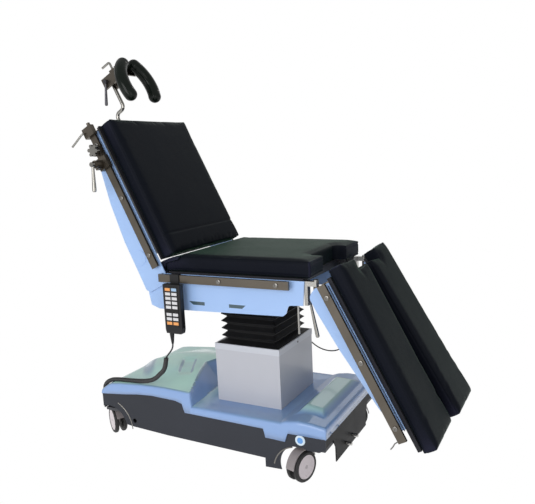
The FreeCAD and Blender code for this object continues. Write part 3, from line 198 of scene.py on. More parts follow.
# The studio.
# A white paper floor that runs past the frame, with one large soft lamp low to the left of
# the camera, a weaker one on its other side and one behind. The room itself is even, pale light.
FLOOR_HALF = 14.0
ROOM_LIGHT = 0.56
LAMPS = {
    "key_lamp": ((-0.4, -4.4, 1.7), 2.6, 80.0),
    "fill_lamp": ((3.4, -3.0, 1.5), 2.4, 20.0),
    "back_lamp": ((-1.0, 3.6, 3.0), 2.4, 14.0),
}
AIM = (0.0, 0.0, 0.6)

paper = Finish("floor_paper", Base_Color=(0.86, 0.86, 0.86, 1.0), Roughness=0.9)
ray = paper.tree.nodes.new("ShaderNodeLightPath")
seen = paper.node("ShaderNodeMath", {"operation": "MAXIMUM"}, {0: Wire(paper, ray.outputs["Is Camera Ray"]),
                                                              1: Wire(paper, ray.outputs["Is Glossy Ray"])})
glow = paper.node("ShaderNodeEmission", {}, {"Color": (1.0, 1.0, 1.0, 1.0), "Strength": 1.0})
white = paper.node("ShaderNodeMixShader", {}, {0: seen, 1: Wire(paper, paper.shader.outputs[0]), 2: glow})
paper.tree.links.new(white.socket, paper.tree.nodes["Material Output"].inputs[0])
floor_mesh = bpy.data.meshes.new("floor")
corners = [(x * FLOOR_HALF, y * FLOOR_HALF, 0.0) for x, y in ((-1, -1), (1, -1), (1, 1), (-1, 1))]
floor_mesh.from_pydata(corners, [], [(0, 1, 2, 3)])
floor_mesh.materials.append(paper.material)
shown("floor", floor_mesh)

for name, (spot, size, power) in LAMPS.items():
    lamp_data = bpy.data.lights.new(name, "AREA")
    lamp_data.size = size
    lamp_data.energy = power
    lamp = shown(name, lamp_data)
    lamp.location = spot
    way = np.array(AIM) - np.array(spot)
    lamp.rotation_euler = (math.atan2(math.hypot(way[0], way[1]), -way[2]), 0.0, math.atan2(-way[0], way[1]))

room = bpy.data.worlds.new("room")
room.use_nodes = True
scene.world = room
sky = room.node_tree
dim, bright = sky.nodes["Background"], sky.nodes.new("ShaderNodeBackground")
for light, strength in ((dim, ROOM_LIGHT), (bright, 1.0)):
    light.inputs["Color"].default_value = (1.0, 1.0, 1.0, 1.0)
    light.inputs["Strength"].default_value = strength
view_ray = sky.nodes.new("ShaderNodeLightPath")
either = sky.nodes.new("ShaderNodeMixShader")
sky.links.new(view_ray.outputs["Is Camera Ray"], either.inputs[0])
sky.links.new(dim.outputs[0], either.inputs[1])
sky.links.new(bright.outputs[0], either.inputs[2])
sky.links.new(either.outputs[0], sky.nodes["World Output"].inputs[0])
scene.view_settings.view_transform = "Standard"


# The cords of the table.
# A tightly curled rubber cord runs from the head end over the base to the hand control's straight
# lead, and a thin cable sags from the column's cover to the seat frame. All are moulded rubber.
LEAD_ROUTE = [(-232, -306.5, 479.7), (-233, -306.5, 464), (-243, -308, 448), (-256, -309.5, 434),
              (-266, -310, 420)]
LEAD_RADIUS, LEAD_LENGTH = 3.0 * MM, 0.071
CURLY_ROUTE = [
    (-266.3, -310, 418.6), (-272, -309, 390), (-291, -300, 361), (-322, -287, 338), (-356, -273, 311),
    (-395, -261, 292), (-440, -254, 281), (-490, -248, 274), (-540, -243, 269), (-588, -237, 263),
    (-630, -230, 254), (-667, -223, 234), (-689, -215, 206), (-687, -208, 181), (-667, -205, 170)]
CURLY_RADIUS, CURLY_PITCH, CURLY_LENGTH = 9.2 * MM, 5.2 * MM, 0.562
CABLE_ROUTE = [
    (100, 168.5, 395), (101, 185.5, 392), (108, 199.5, 379), (123, 206.5, 363), (144, 207.5, 349),
    (174, 205.5, 340), (208, 203.5, 339), (240, 201.5, 348), (266, 200.5, 370), (284, 199.5, 402),
    (295, 199.5, 444), (300, 199.5, 498), (300, 200.5, 554), (297, 201.5, 606), (294, 203.5, 648),
    (291, 207.5, 680), (290, 214.5, 702), (290, 218, 714), (290, 229, 716)]
CABLE_RADIUS, CABLE_LENGTH = 2.6 * MM, 0.580


def followed(name, route):
    """Points along the smooth NURBS line whose control points are the route's, given in millimetres."""
    curve = bpy.data.curves.new(name, "CURVE")
    curve.dimensions = "3D"
    curve.resolution_u = 16
    line = curve.splines.new("NURBS")
    line.points.add(len(route) - 1)
    spots = np.column_stack((np.array(route) * MM, np.ones(len(route))))
    line.points.foreach_set("co", spots.ravel())
    line.order_u = 3
    line.use_endpoint_u = True
    holder = bpy.data.objects.new(name, curve)
    traced = bpy.data.meshes.new_from_object(holder)
    points = np.empty(len(traced.vertices) * 3)
    traced.vertices.foreach_get("co", points)
    bpy.data.objects.remove(holder)
    return points.reshape(-1, 3)


def evenly(points, step):
    """The same line with points a step apart, by linear interpolation on its running length."""
    run = np.concatenate(([0.0], np.cumsum(np.linalg.norm(np.diff(points, axis=0), axis=1))))
    stops = np.linspace(0.0, run[-1], max(2, int(round(run[-1] / step)) + 1))
    return np.column_stack([np.interp(stops, run, points[:, i]) for i in range(3)])


def faces_of(rows, columns, wrap, capped):
    """Quads of a grid of rows by columns, joined round them if wrap, with end faces if capped."""
    i, j = np.meshgrid(np.arange(rows - 1), np.arange(columns if wrap else columns - 1), indexing="ij")
    k = (j + 1) % columns
    quads = np.stack((i * columns + j, i * columns + k, (i + 1) * columns + k, (i + 1) * columns + j), -1)
    faces = quads.reshape(-1, 4).tolist()
    if capped:
        faces.append(list(range(columns))[::-1])
        faces.append(list(range((rows - 1) * columns, rows * columns)))
    return faces


def volume_sign(points, faces):
    """The sign of a closed surface's volume: the sum of each face's first corner on its fan of triangles."""
    quads = np.array([f for f in faces if len(f) == 4])
    a, b, c, d = (points[quads[:, n]] for n in range(4))
    total = np.einsum("ij,ij->i", a, np.cross(b, c)).sum() + np.einsum("ij,ij->i", a, np.cross(c, d)).sum()
    return 1.0 if total >= 0 else -1.0


def surface(name, grids, finish, wrap=True, capped=True, sharp=35.0, window=None):
    """A piece from a grid of points (rows, columns, 3) or a list of such grids, smooth up to sharp degrees.

    Wrapped grids get their faces outwards. A window is the half size in X and Y, round the origin,
    inside which a grid has no faces.
    """
    points, faces, count = [], [], 0
    for grid in grids if isinstance(grids, list) else [grids]:
        flat = np.asarray(grid, float).reshape(-1, 3)
        own = faces_of(*grid.shape[:2], wrap, capped)
        if window:
            middle = np.abs(flat[np.array(own)].mean(1)[:, :2])
            own = [f for f, spot in zip(own, middle) if spot[0] > window[0] or spot[1] > window[1]]
        if wrap and volume_sign(flat - flat.mean(0), own) < 0:
            own = [f[::-1] for f in own]
        faces += [[n + count for n in f] for f in own]
        points.append(flat)
        count += len(flat)
    mesh = bpy.data.meshes.new(name)
    mesh.from_pydata(np.concatenate(points).tolist(), [], faces)
    mesh.shade_smooth()
    mesh.set_sharp_from_angle(angle=math.radians(sharp))
    mesh.materials.append(finish.material)
    return shown(name, mesh)


def round_turn(count):
    """Angles evenly round a full turn."""
    return np.linspace(0.0, 2 * math.pi, count, endpoint=False)


def belongs(piece, body=None, node=None):
    """Hide the CAD node that a piece stands for and hang the piece on the body that it rides."""
    if node:
        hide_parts(node)
    if body:
        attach(piece, body)


def hose(path, radius, around, across=(0.0, 1.0, 0.0)):
    """Rings: centre + radius * (side * cos + up * sin), side = tangent x across, up = side x tangent."""
    way = np.gradient(path, axis=0)
    way /= np.linalg.norm(way, axis=1, keepdims=True)
    side = np.cross(way, across)
    side /= np.linalg.norm(side, axis=1, keepdims=True)
    up = np.cross(side, way)
    turn = round_turn(around)
    size = np.broadcast_to(radius, (len(path), around))[..., None]
    ring = side[:, None] * np.cos(turn)[:, None] + up[:, None] * np.sin(turn)[:, None]
    return path[:, None] + size * ring


rubber = clouded("cord_rubber", (260.0, 3.0), ((0.010, 0.010, 0.011), (0.022, 0.022, 0.024)), (0.2, 0.36),
                 (0.0002, 0.4), Coat_Weight=0.15, Coat_Roughness=0.3)


def cord(name, rings, node, body=None, heights=None, sharp=35.0):
    """A cord of rings on a line. It rides a body, or, where heights are given, its place is baked into its
    mesh; the heights' values are not used.
    """
    piece = surface(name, rings, rubber, sharp=sharp)
    belongs(piece, body, node)
    if heights:
        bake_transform(piece)


lead_line = evenly(followed("lead_line", LEAD_ROUTE), 2.5 * MM)
cord("handset_lead", hose(lead_line, LEAD_RADIUS, 20),
     "pendant_lead", body="pendant")

curly_line = evenly(followed("curly_line", CURLY_ROUTE), CURLY_PITCH / 8)
turn = round_turn(28)
phase = np.arange(len(curly_line))[:, None] * (2 * math.pi / 8) - turn
curls = CURLY_RADIUS - 1.7 * MM * (1 - np.abs(np.cos(phase / 2))) ** 1.4
cord("curly_cord", hose(curly_line, curls, 28),
     "pendant_cord", heights=(0.290, 0.415), sharp=80.0)

cable_line = evenly(followed("cable_line", CABLE_ROUTE), 3.0 * MM)
cord("link_cable_cover", hose(cable_line, CABLE_RADIUS, 14, (0.3, 0.35, 0.9)),
     "link_cable", heights=(0.395, 0.66))


# The welded chassis under the covers.
# Steel plate with the fixed stage of the lifting column, all powder coated dark grey.
coat = Finish("frame_coat", Specular_IOR_Level=0.45)
speck = coat.noise(coat.place(), 900.0, 2.0)
cloud = coat.noise(coat.place(), 9.0, 4.0)
coat.feed(Base_Color=coat.blend(cloud, (0.040, 0.042, 0.050), (0.062, 0.065, 0.075)),
          Roughness=speck * 0.18 + 0.42)
coat.bump(speck, 0.0003, 0.35)
coat.on("base_frame", "tilt_head", "back_frame")


# The side skirts of the base.
# Dark grey ABS mouldings with a fine spark-eroded grain, screwed to the chassis and arched over the
# casters. Each has a plain blue cap in a white ring, and bright pressed-on lips round its arches.
CAP_X, CAP_Z, CAP_RADIUS, CAP_FACE = 0.268, 0.159, 0.019, 0.0115
skirt = Finish("skirt_plastic", Specular_IOR_Level=0.25)
spark = skirt.noise(skirt.place(), 1400.0, 2.0, 0.7)
haze = skirt.noise(skirt.place(), 6.0, 3.0)
skirt_tone = skirt.blend(haze, (0.030, 0.033, 0.042), (0.040, 0.044, 0.056))
along = skirt.axis("X")
upright = skirt.axis("Z")
from_cap = ((along - CAP_X) ** 2 + (upright - CAP_Z) ** 2) ** 0.5
skirt_tone = skirt.blend(from_cap < CAP_RADIUS + 0.0004, skirt_tone, (0.70, 0.82, 0.92))
skirt_tone = skirt.blend(from_cap < CAP_FACE, skirt_tone, (0.16, 0.38, 0.80))
skirt.feed(Base_Color=skirt_tone, Roughness=spark * 0.2 + 0.4)
skirt.bump(spark, 0.0002, 0.3)
skirt.on("skirt_near", "skirt_far")


# The foot-end plate.
# Folded sheet steel in satin black, with two bright studs that take the floor locks' cover.
STUD_X = 0.3668
black = Finish("plate_black", Specular_IOR_Level=0.08)
ripple = black.noise(black.place(), 500.0, 2.0)
smudge = black.noise(black.place(), 14.0, 4.0)
forward = black.axis("X")
stud = forward > STUD_X
plate_tone = black.blend(smudge, (0.006, 0.006, 0.007), (0.011, 0.011, 0.013))
black.feed(Base_Color=black.blend(stud, plate_tone, (0.55, 0.54, 0.52)), Metallic=stud,
           Roughness=ripple * 0.12 + smudge * 0.15 + 0.28 - stud * 0.12)
black.bump(ripple, 0.0002, 0.25)
black.on("foot_plate")


# The column's lower cover.
# A pressed and sprayed sheet-steel box in warm white, with a lipped band round its top.
BAND_Z = (0.4215, 0.4225)
white_coat = Finish("column_white", Coat_Weight=0.25, Coat_Roughness=0.2)
spray = white_coat.noise(white_coat.place(), 700.0, 2.0)
drift = white_coat.noise(white_coat.place(), 5.0, 3.0)
height = white_coat.axis("Z")
band = white_coat.ramp(height, *BAND_Z)
tone = white_coat.blend(drift, (0.50, 0.51, 0.56), (0.56, 0.57, 0.62))
white_coat.feed(Base_Color=white_coat.blend(band, tone, (0.60, 0.62, 0.68)), Roughness=spray * 0.12 + 0.3)
white_coat.bump(spray, 0.0002, 0.2)
white_coat.on("column_cover")


# The bright metal parts.
# Satin stainless bar is brushed along its length; turned parts are polished and nearly mirror bright.
TURNS = {"seat": 0.0, "back": math.radians(63.4), "leg_near": math.radians(61.8),
         "leg_far": math.radians(59.4)}


def brushed(name, turn):
    """Stainless bar whose fine scratches run along the local X axis, which is turned about Y by turn."""
    bar = Finish(name, Metallic=1.0)
    along = bar.place((6.0, 900.0, 900.0), turn)
    scratch = bar.noise(along, 1.0, 4.0, 0.65)
    stain = bar.noise(bar.place((3.0, 18.0, 18.0), turn), 1.0, 3.0)
    tint = bar.blend(stain, (0.085, 0.072, 0.058), (0.150, 0.132, 0.108))
    bar.feed(Base_Color=bar.blend(scratch * 0.5, tint, (0.19, 0.172, 0.148)),
             Roughness=scratch * 0.22 + stain * 0.1 + 0.2)
    bar.bump(scratch, 0.00006, 0.5)
    return bar


rail_steel = {place: brushed("rail_steel_" + place, turn) for place, turn in TURNS.items()}
rail_steel["seat"].on("seat_rail_near", "seat_rail_far", "leg_knuckle_near", "leg_knuckle_far")
rail_steel["back"].on("back_rail_near", "back_rail_far", "rail_clamp", "end_clamp", "headrest_clamp")
rail_steel["leg_near"].on("leg_rail_near")
rail_steel["leg_far"].on("leg_rail_far")

chrome = clouded("polished_chrome", (30.0, 5.0), ((0.26, 0.25, 0.23), (0.42, 0.41, 0.38)), (0.12, 0.10),
                 Metallic=1.0)
chrome.on("column_inner", "headrest_rod", "headrest_crank", "clamp_handle", "star_knob", "end_lever",
          "leg_lever_near", "leg_lever_far")


# The blue side panels of the seat, the back and the legs.
# Laser-cut sheet steel, sprayed light blue and lacquered, with the faint orange peel of thick paint.
# The seat's plates carry two short printed stripes with a slanting end each.
STRIPE_Z, STRIPE_ENDS, STRIPE_GAP = (0.6275, 0.6405), (-0.1545, 0.0575), (-0.1030, 0.0030)
paint = Finish("panel_blue", Coat_Weight=0.5, Coat_Roughness=0.08, Specular_IOR_Level=0.5)
peel = paint.noise(paint.place(), 420.0, 2.0)
shade = paint.noise(paint.place(), 3.5, 4.0)
forward = paint.axis("X")
height = paint.axis("Z")
in_band = (height > STRIPE_Z[0]) * (height < STRIPE_Z[1])
left_end = forward > STRIPE_ENDS[0] - (height - STRIPE_Z[0]) * 1.4
right_end = forward < STRIPE_ENDS[1] + (height - STRIPE_Z[0]) * 1.2
stripes = in_band * (left_end * (forward < STRIPE_GAP[0]) + right_end * (forward > STRIPE_GAP[1]))
tone = paint.blend(shade, (0.325, 0.500, 0.850), (0.385, 0.565, 0.900))
paint.feed(Base_Color=paint.blend(stripes, tone, (0.045, 0.085, 0.110)), Roughness=peel * 0.1 + 0.24)
paint.bump(peel, 0.00012, 0.25)
paint.on(*(f"{part}_plate_{side}" for part in ("seat", "back", "leg") for side, _ in SIDES))


# The boards under the pads.
# Black phenolic laminate, machined flat, with a dull sheet finish.
laminate = clouded("board_laminate", (160.0, 5.0), ((0.012, 0.012, 0.016), (0.024, 0.024, 0.030)),
                   (0.2, 0.45), (0.0002, 0.3), Specular_IOR_Level=0.25)
laminate.on("seat_board", "back_board", "leg_board_near", "leg_board_far")


# The dark tapered lever of the headrest.
# A cast handle in black chrome on its bolt.
dark_chrome = clouded("black_chrome", (40.0, 4.0), ((0.06, 0.06, 0.07), (0.12, 0.12, 0.13)), (0.15, 0.16),
                      Metallic=0.9)
dark_chrome.on("headrest_lever")


# The moulded cover of the base.
# One glossy glass-fibre shell: a crowned hump over the head end with a scooped panel, a low deck
# round the column, short gutters beside the foot casters and a raised crest at the foot end.
COVER_X, COVER_Y = (-659.0, 366.0), 263.0
COVER_EDGE = [(-659, 212), (-645, 226), (-622, 242), (-601, 250), (-567, 255), (-514, 260), (-444, 266),
              (-390, 269), (-330, 270), (-289, 269), (-205, 267), (366, 267)]
FOOT_EDGE = [(120, 206), (186, 208), (215, 219), (259, 226), (300, 225), (366, 217)]
COVER_SEAM = [(-659, 201), (-541, 214), (-460, 225), (-388, 230), (-274, 227), (-241, 218), (-232, 183),
              (123, 179), (125, 146), (208, 144), (219, 178), (366, 180)]
DECK_Z, CORNER_ROUND, COVER_WALL = 206.0, 9.0, 3.5


def soft_step(value, low, high):
    """0 below low, 1 above high, 3 t^2 - 2 t^3 between."""
    t = np.clip((value - low) / (high - low), 0.0, 1.0)
    return t * t * (3.0 - 2.0 * t)


def soft_top(first, second, width):
    """The larger of two heights, with the valley or ridge between them rounded over a width."""
    gap = np.clip(0.5 + 0.5 * (first - second) / width, 0.0, 1.0)
    return second + (first - second) * gap + width * gap * (1.0 - gap)


def cover_height(x, y):
    """Hump = edge + crown behind a slanting hip - scoop; a vee falls to the deck; the foot has a crest."""
    middle = 1.0 - np.abs(y) / COVER_Y
    edge = np.interp(x, *zip(*COVER_EDGE))
    hip = -600.0 + 0.62 * np.abs(y)
    crown = 25.0 * soft_step(middle, 0.02, 0.75) * soft_step(x, hip - 40.0, hip + 52.0)
    hump = edge + crown
    across = (x + 352.0) * 0.82 + (y + 60.0) * 0.42
    along = (y + 55.0) - (x + 352.0) * 0.3
    scoop = soft_step(34.0 - np.abs(across), 0.0, 16.0) * soft_step(115.0 - np.abs(along), 0.0, 60.0)
    hump = hump - 9.0 * scoop
    lip, toe = -203.0 - 94.0 * middle, -199.0 - 20.0 * middle
    fall = np.clip((x - lip) / (toe - lip), 0.0, 1.0)
    hump = hump + (DECK_Z - 6.0 - hump) * fall
    deck = DECK_Z + 3.0 * soft_step(np.abs(y), 190.0, 240.0)
    foot = np.interp(x, *zip(*FOOT_EDGE))
    gutter = soft_step(x, 184.0, 192.0)
    gutter = gutter + (1.0 - soft_step(np.abs(y), 206.0, 216.0)) * soft_step(x, 150.0, 200.0)
    deck = deck + (foot - deck) * np.clip(gutter, 0.0, 1.0)
    reach = np.minimum(np.minimum(x - 206.0, 352.0 - x) * 0.95, (218.0 - np.abs(y)) * 0.62)
    crest = np.minimum(DECK_Z - 2.0 + reach, 245.0 - 0.06 * (x - 256.0))
    return soft_top(soft_top(hump, deck, 5.0), crest, 6.0)


def cover_grid():
    """Rows along X, stations over the width; the outer ones turn down in a quarter circle to the seam."""
    x = np.concatenate((np.arange(COVER_X[0] + CORNER_ROUND, -210, 6.0), np.arange(-210, -190, 2.0),
                        np.arange(-190, 120, 8.0), np.arange(120, COVER_X[1] - CORNER_ROUND, 4.0),
                        [COVER_X[1] - CORNER_ROUND]))
    half = np.concatenate((np.arange(0.0, COVER_Y - CORNER_ROUND, 7.0), [COVER_Y - CORNER_ROUND]))
    y = np.concatenate((-half[:0:-1], half))
    bend = np.linspace(0.0, math.pi / 2, 6)[1:]
    seam = np.interp(x, *zip(*COVER_SEAM))
    xx, yy = np.meshgrid(x, y, indexing="ij")
    top = cover_height(xx, yy)
    rise = top[:, -1] - CORNER_ROUND
    out = COVER_Y - CORNER_ROUND + CORNER_ROUND * np.sin(bend)
    drop = CORNER_ROUND * (1.0 - np.cos(bend))
    turned = top[:, -1:] - drop
    wall = np.stack((rise - (rise - seam) * 0.5, seam), 1)
    side_y = np.concatenate((out, [COVER_Y, COVER_Y]))
    side_z = np.concatenate((turned, wall), 1)
    ys = np.concatenate((-side_y[::-1], y, side_y))
    z = np.concatenate((side_z[:, ::-1], top, side_z), 1)
    grid = np.stack(np.broadcast_arrays(x[:, None], ys, z), -1)
    ends = []
    for row, way in ((grid[0], -1.0), (grid[-1], 1.0)):
        turned = np.repeat(row[None], len(bend) + 1, 0)
        turned[..., 0] += way * CORNER_ROUND * np.sin(np.append(bend, bend[-1]))[:, None]
        turned[:-1, :, 2] = np.maximum(row[0, 2], row[:, 2] - drop[:, None])
        turned[-1, :, 2] = row[0, 2]
        ends.append(turned)
    return np.concatenate((ends[0][::-1], grid, ends[1]))


gel = Finish("cover_gelcoat", Coat_Weight=0.35, Coat_Roughness=0.08, Specular_IOR_Level=0.4)
spot = gel.place()
facing = gel.axis("Z", gel.node("ShaderNodeNewGeometry", out="Normal"))
where = gel.axis("X", spot)
height = gel.axis("Z", spot)
# Painted reflection: upward faces don't keep the gelcoat's own blue. At the head end the flattest tops are
# painted mint and their slopes dark teal; at the foot end they go from blue to mint with height. The sides keep
# the blue.
upward = gel.ramp(facing, 0.45, 0.93)
cast = gel.noise(spot, 4.5, 3.0)
flat_reflection_share = gel.ramp(facing, 0.9, 0.99)
head_top_reflection = gel.blend(flat_reflection_share, (0.20, 0.32, 0.42), (0.52, 0.84, 0.74))
foot_top_reflection = gel.blend(gel.ramp(height, 0.226, 0.243), (0.20, 0.33, 0.60), (0.38, 0.60, 0.60))
reflection_tone = gel.blend(gel.ramp(where, -0.27, -0.12), head_top_reflection, foot_top_reflection)
reflection_tone = gel.blend(gel.ramp(cast, 0.35, 0.75) * 0.35, reflection_tone, (0.30, 0.48, 0.66))
gel.feed(Base_Color=gel.blend(upward, (0.275, 0.425, 0.740), reflection_tone), Roughness=cast * 0.08 + 0.13)
gel.bump(gel.noise(spot, 60.0, 2.0), 0.0004, 0.25)

cover = surface("moulded_cover", cover_grid() * MM, gel, wrap=False, capped=False, sharp=50.0,
                window=(0.132, 0.143))
shell = cover.modifiers.new("wall", "SOLIDIFY")
shell.thickness = COVER_WALL * MM
shell.offset = -1.0
belongs(cover, "base", "base_cover")


# The pleated bellows of the lift column.
# Black coated fabric sewn into square pleats, clamped to the column's cover and the moving stage.
BELLOWS_FOOT, BELLOWS_HEAD = 446.0, 606.0
PLEATS, PLEAT_OUT, PLEAT_DEPTH = 5, (122.5, 133.5), 18.0
SIDE_STEPS, PLEAT_STEPS = 14, 10


def square_ring(half_x, half_y, round_by, steps):
    """Points of a rectangle with quarter-circle corners: each corner's centre + round_by * (cos, sin)."""
    quarter = np.linspace(0.0, math.pi / 2, steps)
    corners = []
    for n, (sx, sy) in enumerate(((1, 1), (-1, 1), (-1, -1), (1, -1))):
        angle = quarter + n * math.pi / 2
        middle = np.array((sx * (half_x - round_by), sy * (half_y - round_by)))
        corners.append(middle + round_by * np.stack((np.cos(angle), np.sin(angle)), -1))
    ring = []
    for n, arc in enumerate(corners):
        after = corners[(n + 1) % 4][0]
        share = np.linspace(0.0, 1.0, SIDE_STEPS + 2)[1:-1, None]
        ring += [arc, arc[-1] + (after - arc[-1]) * share]
    return np.concatenate(ring)


def bellows_rings():
    """Rings whose inset is a zigzag over the height, sharp outside; they sag midway along a side."""
    phase = np.linspace(0.0, PLEATS + 0.45, PLEATS * 2 * PLEAT_STEPS + PLEAT_STEPS)
    z = BELLOWS_FOOT + (BELLOWS_HEAD - BELLOWS_FOOT) * phase / phase[-1]
    zigzag = 1.0 - np.abs(((phase + 0.52) % 1.0) * 2.0 - 1.0)
    inset = PLEAT_DEPTH * (1.0 - zigzag ** 1.15)
    flare = 15.0 * (1.0 - soft_step(phase, 0.0, 0.45))
    rings = []
    for height, deep, wide in zip(z, inset, flare):
        ring = square_ring(PLEAT_OUT[0] - deep + wide, PLEAT_OUT[1] - deep + wide, 5.0, 5)
        around = np.abs(np.sin(np.arange(len(ring)) / len(ring) * 4.0 * math.pi))
        free = soft_step(height, BELLOWS_FOOT, BELLOWS_FOOT + 30.0)
        dip = -2.2 * (1.0 - deep / PLEAT_DEPTH) * around * free
        rings.append(np.column_stack((ring, np.full(len(ring), height) + dip)))
    return np.array(rings)


coated = Finish("bellows_fabric", Specular_IOR_Level=0.2, Sheen_Weight=0.04, Sheen_Roughness=0.4)
weave = coated.noise(coated.place((1.0, 1.0, 2.5)), 420.0, 3.0)
dust = coated.noise(coated.place(), 22.0, 4.0)
coated.feed(Base_Color=coated.blend(dust, (0.005, 0.005, 0.006), (0.012, 0.012, 0.013)),
            Roughness=weave * 0.2 + 0.42)
coated.bump(weave, 0.0003, 0.5)
bellows = surface("bellows_pleats", bellows_rings() * MM, coated, sharp=50.0)
belongs(bellows, node="bellows")
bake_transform(bellows)


# The pads.
# Moulded foam in sewn covers of navy coated fabric, held to their boards by hook tape. The air of
# the cloth run crowns them; the sewn edges, the back pad's cross crease and the seams come after it.
HINGE_DROP, HINGE_Z = 85.0, 727.0
SECTIONS = {
    "seat": (0.0, 0.0, 0.0, 1.0),
    "back": (-283.5, TURNS["back"], -HINGE_DROP * math.tan(TURNS["back"] / 2), -1.0),
    "leg_near": (381.0, TURNS["leg_near"], -HINGE_DROP * math.tan(TURNS["leg_near"] / 2), 1.0),
    "leg_far": (381.0, TURNS["leg_far"], -HINGE_DROP * math.tan(TURNS["leg_near"] / 2), 1.0),
}
PAD_HALF, PAD_EDGE, VOXEL = 259.5, 5.0, 6.0
PAD_SWELL = 8.0


def laid(spots, section):
    """From (s along, y, t below the pad's face) in millimetres to the world in metres, on a section."""
    hinge_x, turn, start, sense = SECTIONS[section]
    s, y, t = np.moveaxis(np.asarray(spots, float), -1, 0)
    if section == "seat":
        return np.stack((s, y, 812.0 - t), -1) * MM
    x, z = start + sense * s, HINGE_DROP - t
    world_x = hinge_x + x * math.cos(turn) + z * math.sin(turn)
    world_z = HINGE_Z - x * math.sin(turn) + z * math.cos(turn)
    return np.stack((world_x, y, world_z), -1) * MM


def prism(name, corners, top, bottom):
    """A closed block over a polygon of (s, y) corners, from t = top to t = bottom."""
    ring = np.array(corners, float)
    count = len(ring)
    points = np.concatenate([np.column_stack((ring, np.full(count, t))) for t in (top, bottom)]) * MM
    faces = [list(range(count)), list(range(count, 2 * count))[::-1]]
    faces += [[n, n + count, (n + 1) % count + count, (n + 1) % count] for n in range(count)]
    mesh = bpy.data.meshes.new(name)
    mesh.from_pydata(points.tolist(), [], faces)
    if volume_sign(points - points.mean(0), faces) < 0:
        mesh.flip_normals()
    return shown(name, mesh)


def spots_of(mesh):
    """A mesh's points as an array."""
    flat = np.empty(len(mesh.vertices) * 3)
    mesh.vertices.foreach_get("co", flat)
    return flat.reshape(-1, 3)


def settled(piece, **modifiers):
    """Apply modifiers to a piece in order; each is a type with its settings."""
    for kind, settings in modifiers.items():
        made = piece.modifiers.new(kind, kind)
        for key, value in settings.items():
            setattr(made, key, value)
        ready = bpy.data.meshes.new_from_object(piece.evaluated_get(bpy.context.evaluated_depsgraph_get()))
        piece.modifiers.clear()
        piece.data = ready
    return piece


def swollen(piece, limit, floor_t):
    """Blow a block up as cloth for 20 frames, cut each point's move to limit, and keep it above its board."""
    rest = spots_of(piece.data)
    air = piece.modifiers.new("air", "CLOTH")
    air.settings.quality = 4
    air.settings.use_pressure = True
    air.settings.uniform_pressure_force = 4.0
    air.settings.effector_weights.gravity = 0.0
    air.settings.bending_stiffness = 6.0
    air.point_cache.frame_start, air.point_cache.frame_end = 1, 20
    for step in range(1, 21):
        scene.frame_set(step)
    blown = spots_of(piece.evaluated_get(bpy.context.evaluated_depsgraph_get()).data)
    piece.modifiers.clear()
    scene.frame_set(1)
    move = blown - rest
    reach = np.linalg.norm(move, axis=1, keepdims=True)
    move *= np.minimum(1.0, limit * MM / np.maximum(reach, 1e-9))
    spots = rest + move
    spots[:, 2] = np.minimum(spots[:, 2], floor_t * MM)
    piece.data.vertices.foreach_set("co", spots.ravel())


def marked(mesh, face, run):
    """Store what the pad fabric reads: face, 1 on a pad's top and 0 at its sides, where the sides get a painted
    lighter tone as if lit, and run, the flat place.
    """
    mesh.attributes.new("face", "FLOAT", "POINT").data.foreach_set("value", face)
    mesh.attributes.new("run", "FLOAT_VECTOR", "POINT").data.foreach_set("vector", run.ravel())


def cushion(name, section, corners, thick, centre, creases=(), hem=None, folds=None):
    """One pad: block, remesh, air, subdivision, seams, sides drawn in, then laid on its section's body.

    A crease is a groove across the top, depth * exp(-(distance / 4.5)^2). A hem is a line of (s, t)
    over which the top may not rise. Folds gather the side cloth between two
    stations: its walls move in by 1.3 mm * (1 + sin(s / 2.1 + t / 9)) * (1 - |2 share - 1|).
    """
    top = PAD_EDGE
    piece = prism(name, corners, top, thick)
    settled(piece, REMESH={"mode": "VOXEL", "voxel_size": VOXEL * MM}, SMOOTH={"factor": 0.5, "iterations": 2})
    swollen(piece, PAD_SWELL, thick)
    settled(piece, SUBSURF={"levels": 1, "render_levels": 1})
    spots = spots_of(piece.data) / MM
    low, high = np.array(corners).min(0), np.array(corners).max(0)
    in_side = np.minimum(spots[:, 1] - low[1], high[1] - spots[:, 1])
    in_end = np.minimum(spots[:, 0] - low[0], high[0] - spots[:, 0])
    # face is 1 on the top and 0 on the sides, where the fabric gets its painted lit tone and its puckers
    face = soft_step(np.minimum(in_side, in_end), 4.0, 9.0)
    on_top = 1.0 - soft_step(spots[:, 2], 12.0, 20.0)
    for crease_s, depth in creases:
        spots[:, 2] += depth * on_top * np.exp(-((spots[:, 0] - crease_s) / 4.5) ** 2)
    # the sewn welt just under the top edge draws the side walls in
    inward = np.zeros_like(spots)
    inward[:, 1] = np.where(spots[:, 1] > centre, -1.0, 1.0) * (in_side < 9.0)
    at_end = (in_end < 9.0) * (in_side >= 9.0)
    inward[:, 0] = np.where(spots[:, 0] > (low[0] + high[0]) / 2, -1.0, 1.0) * at_end
    welt = np.exp(-((spots[:, 2] - 15.0) / 2.6) ** 2) + np.exp(-((spots[:, 2] - thick + 9.0) / 2.6) ** 2)
    spots = spots + inward * (1.9 * welt)[:, None]
    if hem:
        spots[:, 2] = np.maximum(spots[:, 2], np.interp(spots[:, 0], *zip(*hem)))
    if folds:
        share = np.clip((spots[:, 0] - folds[0]) / (folds[1] - folds[0]), 0.0, 1.0)
        wave = (1.0 + np.sin(spots[:, 0] / 2.1 + spots[:, 2] / 9.0)) * (1.0 - np.abs(2.0 * share - 1.0))
        spots[:, 1] = spots[:, 1] - np.sign(spots[:, 1]) * 1.3 * wave * (in_side < 9.0)
    piece.data.vertices.foreach_set("co", laid(spots, section).ravel())
    if SECTIONS[section][3] > 0:
        # t points down here, which mirrors the block
        piece.data.flip_normals()
    piece.data.shade_smooth()
    marked(piece.data, face, spots * MM)
    piece.data.materials.clear()
    piece.data.materials.append(vinyl.material)
    belongs(piece, {"seat": "table"}.get(section, section), name.replace("cushion", "pad"))


